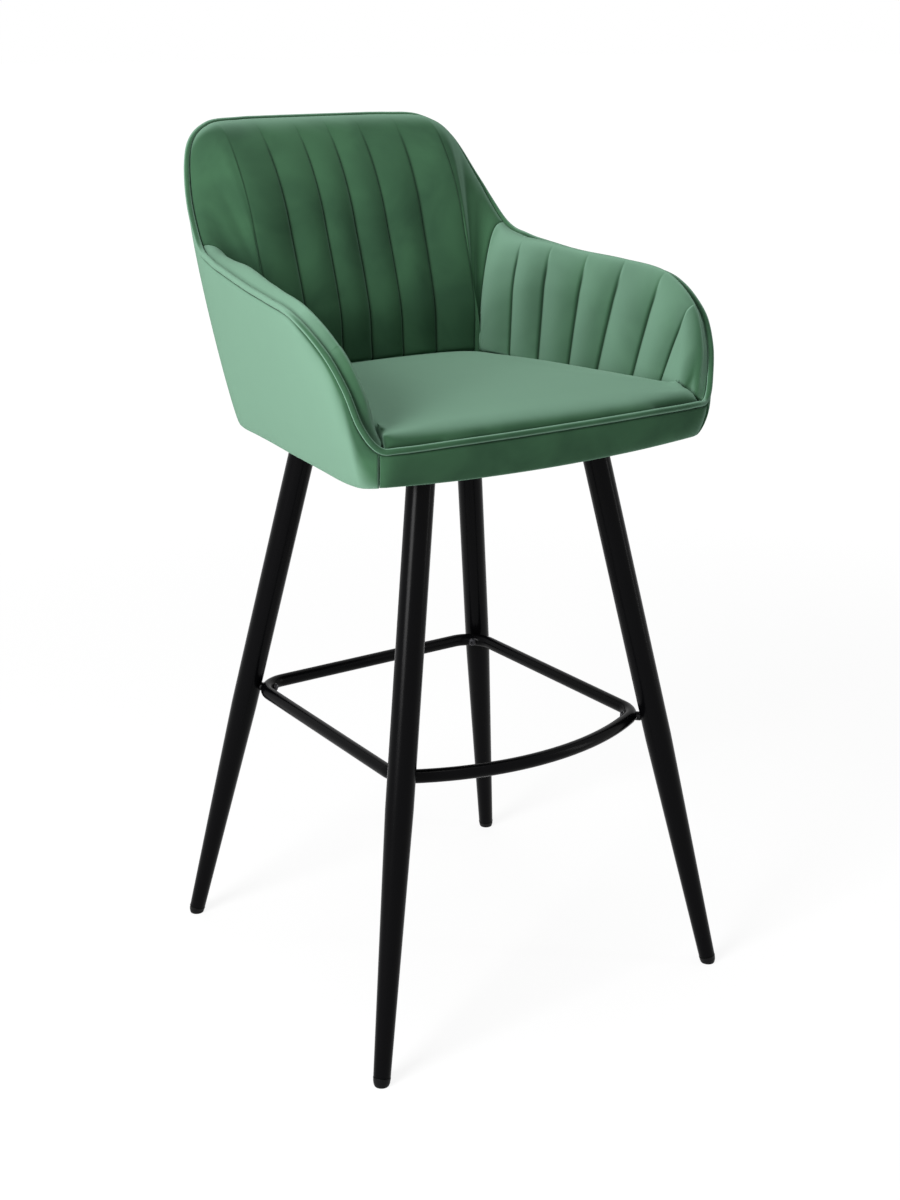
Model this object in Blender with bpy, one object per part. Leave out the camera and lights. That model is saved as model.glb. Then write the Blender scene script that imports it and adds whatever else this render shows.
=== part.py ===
"""Bar stool: a padded tub seat with arms on four tapered tube legs and a bent tube footrest.

The floor is z = 0 and the sitter faces -Y. Left and right are seen from the front, so left is -X.
All sizes are metres. The tub is described by ribs: straight lines from its lower edge up to its
rim, which every layer of the upholstery follows at its own depth inward from the outer surface.
"""
import math

import bmesh
import bpy
from mathutils import Vector

# Clearances between neighbouring pieces, and how far a cutter runs past the face it cuts
FIT_GAP = 0.0003
SOFT_GAP = 0.0006
CUT_OVERRUN = 0.002
SMOOTH_DEGREES = 40

# Tub outline: the rim is the centre line of the piping, the base is the lower edge, and each
# flare is how much farther out the rim lies
TUB_BASE_HEIGHT = 0.672
BACK_RISE = 0.346
RIM_HALF_WIDTH = 0.2557
RIM_BACK_REACH = 0.298
RIM_FRONT_REACH = 0.224
SIDE_FLARE = 0.0322
BACK_FLARE = 0.095
FRONT_FLARE = 0.0096
CORNER_LIFT = 0.006

# Rim rows from the middle of the back round to the middle of the front:
# across of the half width, along of the back or front reach, up of the back's rise
RIM_SHARES = (
    (0.000, 1.000, 1.000), (0.196, 0.998, 1.000), (0.411, 0.982, 0.999), (0.594, 0.950, 0.988),
    (0.726, 0.885, 0.921), (0.806, 0.767, 0.770), (0.853, 0.606, 0.618), (0.876, 0.470, 0.577),
    (0.899, 0.306, 0.556), (0.932, 0.087, 0.535), (0.972, -0.177, 0.523), (1.000, -0.482, 0.500),
    (0.984, -0.725, 0.416), (0.954, -0.846, 0.318), (0.916, -0.908, 0.208), (0.858, -0.957, 0.143),
    (0.767, -0.982, 0.136), (0.508, -0.992, 0.135), (0.254, -0.998, 0.134), (0.000, -1.000, 0.134),
)
# Base rows on the same ribs: across, along, and how much of the corner lift the edge takes
BASE_SHARES = (
    (0.000, 1.000, 0.0), (0.224, 1.000, 0.0), (0.447, 0.998, 0.0), (0.649, 0.974, 0.0),
    (0.758, 0.896, 0.0), (0.822, 0.793, 0.0), (0.850, 0.680, 0.0), (0.864, 0.507, 0.0),
    (0.884, 0.300, 0.0), (0.913, 0.044, 0.0), (0.935, -0.163, 0.0), (0.966, -0.443, 0.0),
    (0.987, -0.630, 0.0), (0.998, -0.770, 0.2), (1.000, -0.877, 0.6), (0.958, -0.953, 1.0),
    (0.881, -0.982, 1.0), (0.586, -0.991, 0.4), (0.293, -0.997, 0.1), (0.000, -1.000, 0.0),
)
LAST_ROW = len(RIM_SHARES) - 1
# Height share on each rib where the layers' walls are divided
MIDDLE_SHARE = 0.55
# Rows that carry a sewn seam; the wing beside the back and the arm's nose are wide panels
SEAM_ROWS = (0, 1, 2, 3, 6, 7, 8, 9, 10, 11, 12, 15)
JUNCTION_ROW = 6
ARM_FRONT_ROW = 15
FRONT_EDGE_ROW = 16
CHANNEL_STEP_SHARES = (0.0, 0.28, 0.72)
PANEL_STEP_SHARES = (0.0, 0.05, 0.2, 0.4, 0.6, 0.8, 0.95)
CORNER_STEP_SHARES = (0.0, 0.35, 0.7)
FRONT_STEP_SHARES = (0.0, 0.5)

# Outer cover: velvet over thin foam, turned in under the board's lower edge
COVER_THICKNESS = 0.004
COVER_BULGE = 0.006
HEM_WIDTH = 0.014
HEM_THICKNESS = 0.004
COVER_WALL_SHARES = (0.0, 0.1, 0.38, 0.7, 1.0)

# Moulded tub board inside the cover
BOARD_THICKNESS = 0.009
BOARD_DROP = 0.0125

# Back and arm cushions, measured inward from the tub's outer surface
BACK_DEPTH = 0.040
ARM_DEPTH = 0.030
ARM_FRONT_DEPTH = 0.021
CHANNEL_PUFF = 0.006
CHANNEL_FULLNESS = 0.6
BACK_CROWN = 0.003
ARM_CROWN = 0.008
LIP_ROLL = 0.006
LIP_GAP = 0.002
FACE_SHARES = (0.045, 0.14, 0.34, 0.62, 1.0)
CROWN_SHARES = ((0.18, 0.7, 0.0), (0.48, 1.0, 0.3), (0.80, 0.45, 0.8))

# Piping sewn between the cover and the cushions
PIPING_DIAMETER = 0.007
PIPING_GAP = 0.0009
PIPING_RINGS = 1

# Front apron below the piping
APRON_THICKNESS = 0.014
APRON_BULGE = 0.004
APRON_WALL_SHARES = (0.0, 0.15, 0.5, 0.85, 1.0)

# Seat board, seat cushion and the cloth under the board
SEAT_BOARD_RECESS = 0.012
SEAT_BOARD_THICKNESS = 0.015
SEAT_EDGE_RISE = 0.029
SEAT_SIDE_GAP = 0.0012
SEAT_SHOULDER = 0.009
SEAT_CROWN = 0.014
SEAT_TUCK = 0.004
SEAT_ROLL = 0.0035
SEAT_CORE_DEPTH = 0.030
SEAT_CORE_INSET = 0.008
SEAT_WAIST_SHARE = 0.4
SEAT_MIDWAY_SHARES = (0.4, 0.66)
SEAT_CROWN_SHARES = ((0.15, 0.46), (0.38, 0.86), (0.72, 1.0))
SEAT_STEP_SHARES = (0.0, 0.5)
CORNER_BLEND_SHARES = (0.05, 0.35)
CLOTH_THICKNESS = 0.0008
CLOTH_MARGIN = 0.012

# Legs: straight tube from the seat down to the taper, then a cone to the foot. An inset is how
# far the tube's top lies inside the tub's lower edge, a splay how much farther out the foot lies
FRONT_LEG_SIDE_INSET = 0.1069
FRONT_LEG_INSET = 0.0793
BACK_LEG_SIDE_INSET = 0.1099
BACK_LEG_INSET = 0.0867
FRONT_LEG_SIDE_SPLAY = 0.127
FRONT_LEG_SPLAY = 0.1056
BACK_LEG_SIDE_SPLAY = 0.1232
BACK_LEG_SPLAY = 0.1244
LEG_DIAMETER = 0.032
LEG_FOOT_DIAMETER = 0.0195
LEG_TAPER_HEIGHT = 0.305
LEG_WALL = 0.0015
LEG_FOOT_LENGTH = 0.010
PLATE_THICKNESS = 0.004
PLATE_HOLE_RADIUS = 0.031
PLATE_LOBE_RADIUS = 0.011
PLATE_LOBES = 3
LOBE_SIDES = 6
LEG_SIDES = PLATE_LOBES * LOBE_SIDES

# Glides pushed into the open feet of the legs
GLIDE_STEM_LENGTH = 0.018
GLIDE_STEM_TAPER = 0.0008
GLIDE_SIDES = 12
GLIDE_HEAD_SHARES = ((-0.25, 0.76), (0.15, 0.87), (0.60, 0.98))

# Footrest: one tube bent into a ring with a bowed front rail
FOOTREST_HEIGHT = 0.3305
FOOTREST_DIAMETER = 0.016
FOOTREST_WALL = 0.0015
FOOTREST_BEND_RADIUS = 0.036
FOOTREST_BOW_DEPTH = 0.0335
FOOTREST_SIDES = 10
FOOTREST_BORE_SIDES = 6
FRONT_STANDOFF = 0.0045
BACK_STANDOFF = 0.0018
BEND_STEPS = 6
BOW_STEPS = 8
SPACER_DIAMETER = 0.011
SPACER_SIDES = 10
HOLLOW_SIDES = 12

# Fasteners; a button head narrows from its rim, as shares of its radius and height
BOLT_DIAMETER = 0.006
BOLT_HEAD_DIAMETER = 0.0118
BOLT_HEAD_HEIGHT = 0.0033
BUTTON_HEAD_SHARES = ((0.62, 1.0), (0.96, 0.45))
HOLE_CLEARANCE = 0.0004
BOLT_END_SPACE = 0.002
FASTENER_SIDES = 8
T_NUT_FLANGE_DIAMETER = 0.019
T_NUT_FLANGE_THICKNESS = 0.0015
T_NUT_BARREL_DIAMETER = 0.0086
T_NUT_LENGTH = 0.011
SCREW_DIAMETER = 0.005
SCREW_HEAD_DIAMETER = 0.0105
SCREW_HEAD_HEIGHT = 0.003
SCREW_HEAD_STANDOFF = 0.001
SCREW_END_SPACE = 0.001
INSERT_DIAMETER = 0.0085
INSERT_LENGTH = 0.012

# Heights, widths and depths that follow from the sizes above
BASE_HALF_WIDTH = RIM_HALF_WIDTH - SIDE_FLARE
BASE_BACK_REACH = RIM_BACK_REACH - BACK_FLARE
BASE_FRONT_REACH = RIM_FRONT_REACH - FRONT_FLARE
COVER_INNER = COVER_THICKNESS + SOFT_GAP
BOARD_INNER = COVER_INNER + BOARD_THICKNESS
CUSHION_OUTER = BOARD_INNER + SOFT_GAP
LIP_DROP = BOARD_DROP - LIP_GAP
PIPING_RADIUS = PIPING_DIAMETER / 2
PIPING_DEPTH = COVER_THICKNESS / 2
PIPING_CLEAR_DEPTH = PIPING_DEPTH + PIPING_RADIUS + SOFT_GAP
COVER_DROP = PIPING_RADIUS + PIPING_GAP
SEAT_BOARD_BOTTOM = TUB_BASE_HEIGHT + SEAT_BOARD_RECESS
SEAT_BOARD_TOP = SEAT_BOARD_BOTTOM + SEAT_BOARD_THICKNESS
CUSHION_FLOOR = SEAT_BOARD_TOP + FIT_GAP
CLOTH_TOP = SEAT_BOARD_BOTTOM - FIT_GAP
CLOTH_BOTTOM = CLOTH_TOP - CLOTH_THICKNESS
PLATE_TOP = CLOTH_BOTTOM - FIT_GAP
PLATE_BOTTOM = PLATE_TOP - PLATE_THICKNESS
SEAT_EDGE_HEIGHT = SEAT_BOARD_TOP + SEAT_EDGE_RISE
LEG_RADIUS = LEG_DIAMETER / 2
LEG_FOOT_RADIUS = LEG_FOOT_DIAMETER / 2
FOOTREST_RADIUS = FOOTREST_DIAMETER / 2
BOLT_HOLE_RADIUS = BOLT_DIAMETER / 2 + HOLE_CLEARANCE
SCREW_HOLE_RADIUS = SCREW_DIAMETER / 2 + HOLE_CLEARANCE


def clear_scene():
    for thing in list(bpy.data.objects):
        bpy.data.objects.remove(thing, do_unlink=True)


def add_object(name, mesh, parent):
    thing = bpy.data.objects.new(name, mesh)
    bpy.context.scene.collection.objects.link(thing)
    thing.parent = parent
    return thing


def mesh_from_bmesh(name, shape):
    mesh = bpy.data.meshes.new(name)
    shape.to_mesh(mesh)
    shape.free()
    mesh.shade_smooth()
    mesh.set_sharp_from_angle(angle=math.radians(SMOOTH_DEGREES))
    return mesh


def face_outwards(shape):
    bmesh.ops.recalc_face_normals(shape, faces=shape.faces[:])


def set_finish(thing, name, colour, roughness, metallic):
    material = bpy.data.materials.new(thing.name + "_" + name)
    material.use_nodes = True
    shader = material.node_tree.nodes["Principled BSDF"]
    shader.inputs["Base Color"].default_value = (*colour, 1.0)
    shader.inputs["Roughness"].default_value = roughness
    shader.inputs["Metallic"].default_value = metallic
    thing.data.materials.append(material)


def velvet(thing):
    set_finish(thing, "velvet", (0.072, 0.223, 0.122), 0.85, 0.0)


def powder_coat(thing):
    set_finish(thing, "powder_coat", (0.006, 0.006, 0.007), 0.42, 0.0)


def plywood(thing):
    set_finish(thing, "plywood", (0.52, 0.36, 0.20), 0.7, 0.0)


def black_plastic(thing):
    set_finish(thing, "plastic", (0.009, 0.009, 0.010), 0.5, 0.0)


def black_cloth(thing):
    set_finish(thing, "cloth", (0.012, 0.012, 0.013), 0.95, 0.0)


def zinc_plate(thing):
    set_finish(thing, "zinc", (0.60, 0.61, 0.63), 0.35, 1.0)


def black_steel(thing):
    set_finish(thing, "black_steel", (0.02, 0.02, 0.022), 0.4, 0.6)


def bridge(shape, first, second):
    """Triangles between two closed rings, split the same way on walls that face each other."""
    count = len(first)
    for i in range(count):
        j = (i + 1) % count
        if first[j].co.z > first[i].co.z:
            shape.faces.new((first[i], first[j], second[j]))
            shape.faces.new((first[i], second[j], second[i]))
        else:
            shape.faces.new((first[i], first[j], second[i]))
            shape.faces.new((first[j], second[j], second[i]))


def add_rings(shape, loops):
    return [[shape.verts.new(point) for point in loop] for loop in loops]


def loft(name, loops):
    """One closed body through a row of closed loops, capped at both ends."""
    shape = bmesh.new()
    rings = add_rings(shape, loops)
    for first, second in zip(rings, rings[1:]):
        bridge(shape, first, second)
    shape.faces.new(rings[0][::-1])
    shape.faces.new(rings[-1])
    face_outwards(shape)
    return mesh_from_bmesh(name, shape)


def turned_rings(profile, sides):
    """Level rings about Z, one for each (radius, height) pair."""
    angles = [math.tau * index / sides for index in range(sides)]
    return [[Vector((r * math.cos(a), r * math.sin(a), height)) for a in angles] for r, height in profile]


def turned_solid(name, profile, sides):
    """A solid of revolution about Z from (radius, height) pairs, flat at both ends."""
    return loft(name, turned_rings(profile, sides))


def turned_sleeve(name, profile, sides):
    """A sleeve about Z: the closed profile of (radius, height) pairs never meets the axis."""
    shape = bmesh.new()
    rings = add_rings(shape, turned_rings(profile, sides))
    for first, second in zip(rings, rings[1:] + rings[:1]):
        bridge(shape, first, second)
    face_outwards(shape)
    return mesh_from_bmesh(name, shape)


def point_along(thing, position, direction):
    """Places an object's origin and turns its Z axis along a direction."""
    thing.location = position
    thing.rotation_euler = direction.to_track_quat("Z", "Y").to_euler()


def cut(thing, cutter):
    step = thing.modifiers.new("cut_" + cutter.name, "BOOLEAN")
    step.operation = "DIFFERENCE"
    step.solver = "EXACT"
    step.object = cutter


def add_cutter(name, mesh, parent):
    cutter = add_object(name, mesh, parent)
    cutter.hide_render = True
    cutter.display_type = "WIRE"
    return cutter


def cylinder_cutter(name, radius, start, end, sides, parent):
    """A cylinder from one point to another, for cutting."""
    profile = ((radius, 0), (radius, (end - start).length))
    cutter = add_cutter(name, turned_solid(name, profile, sides), parent)
    point_along(cutter, start, end - start)
    return cutter


# Tub ribs

def blend(value, low, high):
    """A smooth step from 0 to 1 while the value goes from low to high."""
    share = min(max((value - low) / (high - low), 0), 1)
    return share * share * (3 - 2 * share)


def mix(first, second, share):
    return first + (second - first) * share


def table_row(index):
    """The rim and base points of one row; negative rows are on the left, and rows wrap at the front."""
    span = 2 * LAST_ROW
    index = (index + LAST_ROW) % span - LAST_ROW
    side = -1 if index < 0 else 1
    across, along, up = RIM_SHARES[abs(index)]
    reach = RIM_BACK_REACH if along > 0 else RIM_FRONT_REACH
    rim = Vector((side * across * RIM_HALF_WIDTH, along * reach, TUB_BASE_HEIGHT + up * BACK_RISE))
    across, along, lift = BASE_SHARES[abs(index)]
    reach = BASE_BACK_REACH if along > 0 else BASE_FRONT_REACH
    base = Vector((side * across * BASE_HALF_WIDTH, along * reach, TUB_BASE_HEIGHT + lift * CORNER_LIFT))
    return rim, base


def curve_through(points, share):
    """A smooth curve between the two middle points of four, and its direction."""
    a, b, c, d = points
    slope = c - a
    bend = 2 * a - 5 * b + 4 * c - d
    twist = 3 * b - a - 3 * c + d
    place = (2 * b + slope * share + bend * share ** 2 + twist * share ** 3) / 2
    direction = slope + 2 * bend * share + 3 * twist * share ** 2
    return place, direction


class Rib:
    """One straight line of the tub from its base to its rim, with its inward and crown directions."""

    def __init__(self, row):
        start = math.floor(row)
        rows = [table_row(start + step) for step in (-1, 0, 1, 2)]
        self.row = row
        self.rim, rim_direction = curve_through([rim for rim, base in rows], row - start)
        self.base, base_direction = curve_through([base for rim, base in rows], row - start)
        plan = rim_direction.normalized() + base_direction.normalized()
        self.along = rim_direction.normalized()
        self.inward = Vector((plan.y, -plan.x, 0)).normalized()
        self.top = self.rim - self.inward * PIPING_DEPTH
        self.up = (self.top - self.base).normalized()
        square = self.up - self.along * self.along.dot(self.up)
        self.slant = square.length
        self.crown = square.normalized()

    def at_height(self, depth, height):
        share = (height - self.base.z) / (self.top.z - self.base.z)
        return self.base.lerp(self.top, share) + self.inward * depth

    def below_rim(self, depth, drop):
        """A point on the rib whose distance square to the rim is the drop."""
        return self.top - self.up * (drop / self.slant) + self.inward * depth

    def middle(self, depth):
        return self.base.lerp(self.top, MIDDLE_SHARE) + self.inward * depth

    def above_rim(self, depth, rise):
        return self.top + self.crown * rise + self.inward * depth


def half_rows(channel_steps=CHANNEL_STEP_SHARES):
    """Rows of the right half from the back to the arm's front, close together beside each seam."""
    rows = []
    for first, last in zip(SEAM_ROWS, SEAM_ROWS[1:]):
        steps = channel_steps if last - first == 1 else PANEL_STEP_SHARES
        rows += [mix(first, last, share) for share in steps]
    return rows


def front_rows():
    """Rows of the right half of the front edge, from the arm's front round the corner to the middle."""
    corner = [mix(ARM_FRONT_ROW, FRONT_EDGE_ROW, share) for share in CORNER_STEP_SHARES]
    return corner + [row + share for row in range(FRONT_EDGE_ROW, LAST_ROW) for share in FRONT_STEP_SHARES]


def both_sides(rows):
    """The rows of one half with those of the other, from left to right round the back."""
    return [-row for row in reversed(rows) if row] + rows


def rows_between(rows, first, last):
    return [first] + [row for row in rows if first < row < last] + [last]


# Upholstery

def cushion_depth(row):
    """How deep the cushion's face lies at a seam of this row."""
    side = abs(row)
    depth = mix(BACK_DEPTH, ARM_DEPTH, blend(side, SEAM_ROWS[3], JUNCTION_ROW + 1))
    return mix(depth, ARM_FRONT_DEPTH, blend(side, SEAM_ROWS[-2], ARM_FRONT_ROW))


def channel_fill(row):
    """0 on a seam and 1 in the middle of a channel."""
    side = abs(row)
    for first, last in zip(SEAM_ROWS, SEAM_ROWS[1:]):
        if first <= side <= last:
            return max(math.sin(math.pi * (side - first) / (last - first)), 0) ** CHANNEL_FULLNESS
    return 0


def crown_height(row):
    return mix(BACK_CROWN, ARM_CROWN, blend(abs(row), SEAM_ROWS[3], JUNCTION_ROW))


def cushion_loop(rib):
    """The cushion's section on one rib: over the board's top edge, a crown, and the padded face."""
    seam_depth = cushion_depth(rib.row)
    puff = CHANNEL_PUFF * channel_fill(rib.row)
    free_height = rib.top.z - CUSHION_FLOOR
    points = [
        rib.at_height(CUSHION_OUTER, CUSHION_FLOOR),
        rib.middle(CUSHION_OUTER),
        rib.below_rim(CUSHION_OUTER, LIP_DROP),
        rib.below_rim(COVER_INNER, LIP_DROP),
        rib.below_rim(COVER_INNER, LIP_ROLL),
        rib.above_rim(PIPING_CLEAR_DEPTH, 0),
    ]
    for inward_share, rise_share, puff_share in CROWN_SHARES:
        depth = mix(PIPING_CLEAR_DEPTH, seam_depth, inward_share) + puff * puff_share
        points.append(rib.above_rim(depth, crown_height(rib.row) * rise_share))
    for share in FACE_SHARES:
        points.append(rib.at_height(seam_depth + puff, rib.top.z - free_height * share))
    return points


def end_loop(row, shift):
    """A cushion's flat end face, moved square to itself to stand clear of its neighbour."""
    rib = Rib(row)
    rib.crown = rib.up
    return [point + rib.crown.cross(rib.inward) * shift for point in cushion_loop(rib)]


def tub_cushion(name, first, last, parent):
    """A cushion between two rows, with half the gap to the next cushion at each flat end."""
    rows = rows_between(both_sides(half_rows()), first, last)
    loops = [cushion_loop(Rib(row)) for row in rows[1:-1]]
    loops = [end_loop(first, SOFT_GAP / 2)] + loops + [end_loop(last, -SOFT_GAP / 2)]
    cushion = add_object(name, loft(name, loops), parent)
    velvet(cushion)


def outer_cover(parent):
    """Velvet skin round the tub with a bulged outside and a hem under the board."""
    loops = []
    for row in rows_between(both_sides(half_rows()), -ARM_FRONT_ROW, ARM_FRONT_ROW):
        rib = Rib(row)
        low = rib.base.z
        high = rib.below_rim(0, COVER_DROP).z
        hem_top = low + HEM_THICKNESS
        outside = []
        for share in COVER_WALL_SHARES:
            bulge = COVER_BULGE * 4 * share * (1 - share)
            outside.append(rib.at_height(-bulge, mix(low, high, share)))
        inside = [
            rib.at_height(COVER_THICKNESS, high),
            rib.middle(COVER_THICKNESS),
            rib.at_height(COVER_THICKNESS, hem_top),
            rib.at_height(HEM_WIDTH, hem_top),
            rib.at_height(HEM_WIDTH, low),
        ]
        loops.append(outside + inside)
    cover = add_object("outer_cover", loft("outer_cover", loops), parent)
    velvet(cover)


def tub_board(parent):
    """Moulded plywood shell between the cover and the cushions, resting on the hem."""
    loops = []
    for row in rows_between(both_sides(half_rows()), -ARM_FRONT_ROW, ARM_FRONT_ROW):
        rib = Rib(row)
        low = rib.base.z + HEM_THICKNESS + SOFT_GAP
        loops.append([
            rib.at_height(COVER_INNER, low),
            rib.middle(COVER_INNER),
            rib.below_rim(COVER_INNER, BOARD_DROP),
            rib.below_rim(BOARD_INNER, BOARD_DROP),
            rib.middle(BOARD_INNER),
            rib.at_height(BOARD_INNER, low),
        ])
    board = add_object("tub_board", loft("tub_board", loops), parent)
    plywood(board)


def front_apron(parent):
    """Padded strip under the front piping, between the two ends of the outer cover."""
    right = front_rows() + [LAST_ROW]
    rows = right + [2 * LAST_ROW - row for row in reversed(right[:-1])]
    loops = []
    for row in rows:
        rib = Rib(row)
        high = rib.below_rim(0, COVER_DROP).z
        outside = []
        for share in APRON_WALL_SHARES:
            bulge = APRON_BULGE * 4 * share * (1 - share)
            outside.append(rib.at_height(-bulge, mix(rib.base.z, high, share)))
        inside = [rib.at_height(APRON_THICKNESS, height) for height in (high, rib.base.z)]
        loops.append(outside + inside)
    for end, way in ((0, 1), (-1, -1)):
        along = Rib(rows[end]).along * way * SOFT_GAP
        loops[end] = [point + along for point in loops[end]]
    apron = add_object("front_apron", loft("front_apron", loops), parent)
    velvet(apron)


def rim_piping(parent):
    """Round piping cord along the whole rim and the front edge, one closed loop."""
    rows = both_sides(half_rows() + front_rows()) + [LAST_ROW]
    path = bpy.data.curves.new("rim_piping", "CURVE")
    path.dimensions = "3D"
    path.bevel_depth = PIPING_RADIUS
    path.bevel_resolution = PIPING_RINGS
    spline = path.splines.new("POLY")
    spline.points.add(len(rows) - 1)
    for point, row in zip(spline.points, rows):
        point.co = (*Rib(row).rim, 1.0)
    spline.use_cyclic_u = True
    piping = add_object("rim_piping", path, parent)
    velvet(piping)


def seat_rows():
    return both_sides(half_rows(SEAT_STEP_SHARES) + front_rows()) + [LAST_ROW]


def table_rows():
    return both_sides(list(range(LAST_ROW))) + [LAST_ROW]


def outline(rows, depth_of, height_of):
    """A closed outline round the tub at a depth and a height that depend on the row."""
    return [Rib(row).at_height(depth_of(row), height_of(row)) for row in rows]


def on_front(row):
    """0 along the back and arms, 1 behind the apron."""
    return blend(abs(row) - ARM_FRONT_ROW, *CORNER_BLEND_SHARES)


def seat_cushion(parent):
    """Crowned seat cushion: drawn-in sides, a lip over the apron up to the piping, and a domed top."""
    def side_depth(row):
        beside = cushion_depth(row) + CHANNEL_PUFF + SEAT_SIDE_GAP
        return mix(beside, APRON_THICKNESS + SOFT_GAP, on_front(row))

    def core_depth(row):
        return mix(side_depth(row), SEAT_CORE_DEPTH, on_front(row)) + SEAT_CORE_INSET

    def lip_depth(row):
        return mix(side_depth(row), PIPING_CLEAR_DEPTH, on_front(row))

    def lip_height(row):
        edge = Rib(row).below_rim(0, PIPING_RADIUS - SOFT_GAP).z
        return mix(SEAT_EDGE_HEIGHT - SEAT_ROLL, edge, blend(abs(row), SEAM_ROWS[-2], ARM_FRONT_ROW))

    def waist_height(row):
        return mix(CUSHION_FLOOR, lip_height(row), SEAT_WAIST_SHARE)

    rows = seat_rows()
    loops = [
        outline(rows, lambda row: side_depth(row) + SEAT_TUCK, lambda row: CUSHION_FLOOR),
        outline(rows, side_depth, waist_height),
        outline(rows, lambda row: side_depth(row) + SOFT_GAP, lip_height),
        outline(rows, lip_depth, lip_height),
        outline(rows, lambda row: lip_depth(row) + SOFT_GAP, lambda row: lip_height(row) + SEAT_ROLL),
    ]
    core = outline(rows, core_depth, lambda row: SEAT_EDGE_HEIGHT + SEAT_SHOULDER)
    cushion = add_object("seat_cushion", loft("seat_cushion", loops + seat_dome(loops[-1], core)), parent)
    velvet(cushion)


def seat_dome(edge, core):
    """Loops from the seat's edge up to its crown; they turn from the core's outline to a round."""
    inward_share, rise_share = SEAT_MIDWAY_SHARES
    midway = []
    for low, high in zip(edge, core):
        point = low.lerp(high, inward_share)
        point.z = mix(low.z, high.z, rise_share)
        midway.append(point)
    centre = sum(core, Vector()) / len(core)
    reach = sum((point - centre).length for point in core) / len(core)
    loops = [midway, core]
    for inward_share, rise_share in SEAT_CROWN_SHARES:
        loop = []
        for point in core:
            spoke = point - centre
            spoke = spoke.lerp(spoke.normalized() * reach, inward_share) * (1 - inward_share)
            loop.append(centre + spoke + Vector((0, 0, SEAT_CROWN * rise_share)))
        loops.append(loop)
    return loops


def slab(name, low, thickness, parent):
    """A level sheet of one thickness on an outline."""
    high = [point + Vector((0, 0, thickness)) for point in low]
    return add_object(name, loft(name, [low, high]), parent)


def seat_board(parent):
    """Plywood board that carries the seat cushion; the legs bolt to it from below."""
    def board_depth(row):
        return mix(BOARD_INNER, APRON_THICKNESS, on_front(row)) + SOFT_GAP

    low = outline(table_rows(), board_depth, lambda row: SEAT_BOARD_BOTTOM)
    board = slab("seat_board", low, SEAT_BOARD_THICKNESS, parent)
    plywood(board)
    for leg in LEGS:
        for index, place in enumerate(leg.bolt_places()):
            cut(board, t_nut_cutter(f"t_nut_seat_{leg.name}_{index}", place, parent))


def t_nut_cutter(name, place, parent):
    """A stepped hole through the seat board with a shallow seat for the nut's flange."""
    barrel = T_NUT_BARREL_DIAMETER / 2 + HOLE_CLEARANCE
    flange = T_NUT_FLANGE_DIAMETER / 2 + HOLE_CLEARANCE
    shoulder = SEAT_BOARD_TOP - T_NUT_FLANGE_THICKNESS - FIT_GAP
    profile = (
        (barrel, SEAT_BOARD_BOTTOM - CUT_OVERRUN), (barrel, shoulder),
        (flange, shoulder), (flange, SEAT_BOARD_TOP + CUT_OVERRUN),
    )
    cutter = add_cutter(name, turned_solid(name, profile, FASTENER_SIDES), parent)
    cutter.location = (place.x, place.y, 0)
    return cutter


def bolt_hole_cutter(name, place, bottom, top, parent):
    """A round hole for a leg bolt through a level sheet."""
    low = Vector((place.x, place.y, bottom - CUT_OVERRUN))
    high = Vector((place.x, place.y, top + CUT_OVERRUN))
    return cylinder_cutter(name, BOLT_HOLE_RADIUS, low, high, FASTENER_SIDES, parent)


def bottom_cloth(parent):
    """Thin cloth stapled under the seat board, held between the board and the leg plates."""
    low = outline(table_rows(), lambda row: BOARD_INNER + CLOTH_MARGIN, lambda row: CLOTH_BOTTOM)
    cloth = slab("bottom_cloth", low, CLOTH_THICKNESS, parent)
    black_cloth(cloth)
    for leg in LEGS:
        for index, place in enumerate(leg.bolt_places()):
            name = f"cloth_hole_{leg.name}_{index}"
            cut(cloth, bolt_hole_cutter(name, place, CLOTH_BOTTOM, CLOTH_TOP, parent))


# Legs

class Leg:
    """One leg's axis from the floor to the underside of its plate."""

    def __init__(self, name, side, foot, top):
        self.name = name
        self.foot = Vector((side * foot[0], foot[1], 0))
        self.top = Vector((side * top[0], top[1], PLATE_BOTTOM))
        self.axis = (self.top - self.foot).normalized()
        self.diagonal = Vector((side, math.copysign(1, foot[1]), 0)).normalized()

    def at_height(self, height):
        return self.foot + self.axis * (height / self.axis.z)

    def radius_at(self, height):
        share = min(height / LEG_TAPER_HEIGHT, 1)
        return mix(LEG_FOOT_RADIUS, LEG_RADIUS, share)

    def reach(self, height):
        """Distance from the axis to the tube's surface, level and towards the stool's middle."""
        lean = abs(self.axis.dot(self.diagonal))
        return self.radius_at(height) / math.sqrt(1 - lean ** 2)

    def bolt_places(self):
        places = []
        for lobe in range(PLATE_LOBES):
            angle = self.lobe_angle(lobe)
            places.append(self.top + Vector((math.cos(angle), math.sin(angle), 0)) * PLATE_HOLE_RADIUS)
        return places

    def lobe_angle(self, lobe):
        return math.atan2(-self.diagonal.y, -self.diagonal.x) + math.tau * lobe / PLATE_LOBES


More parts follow.
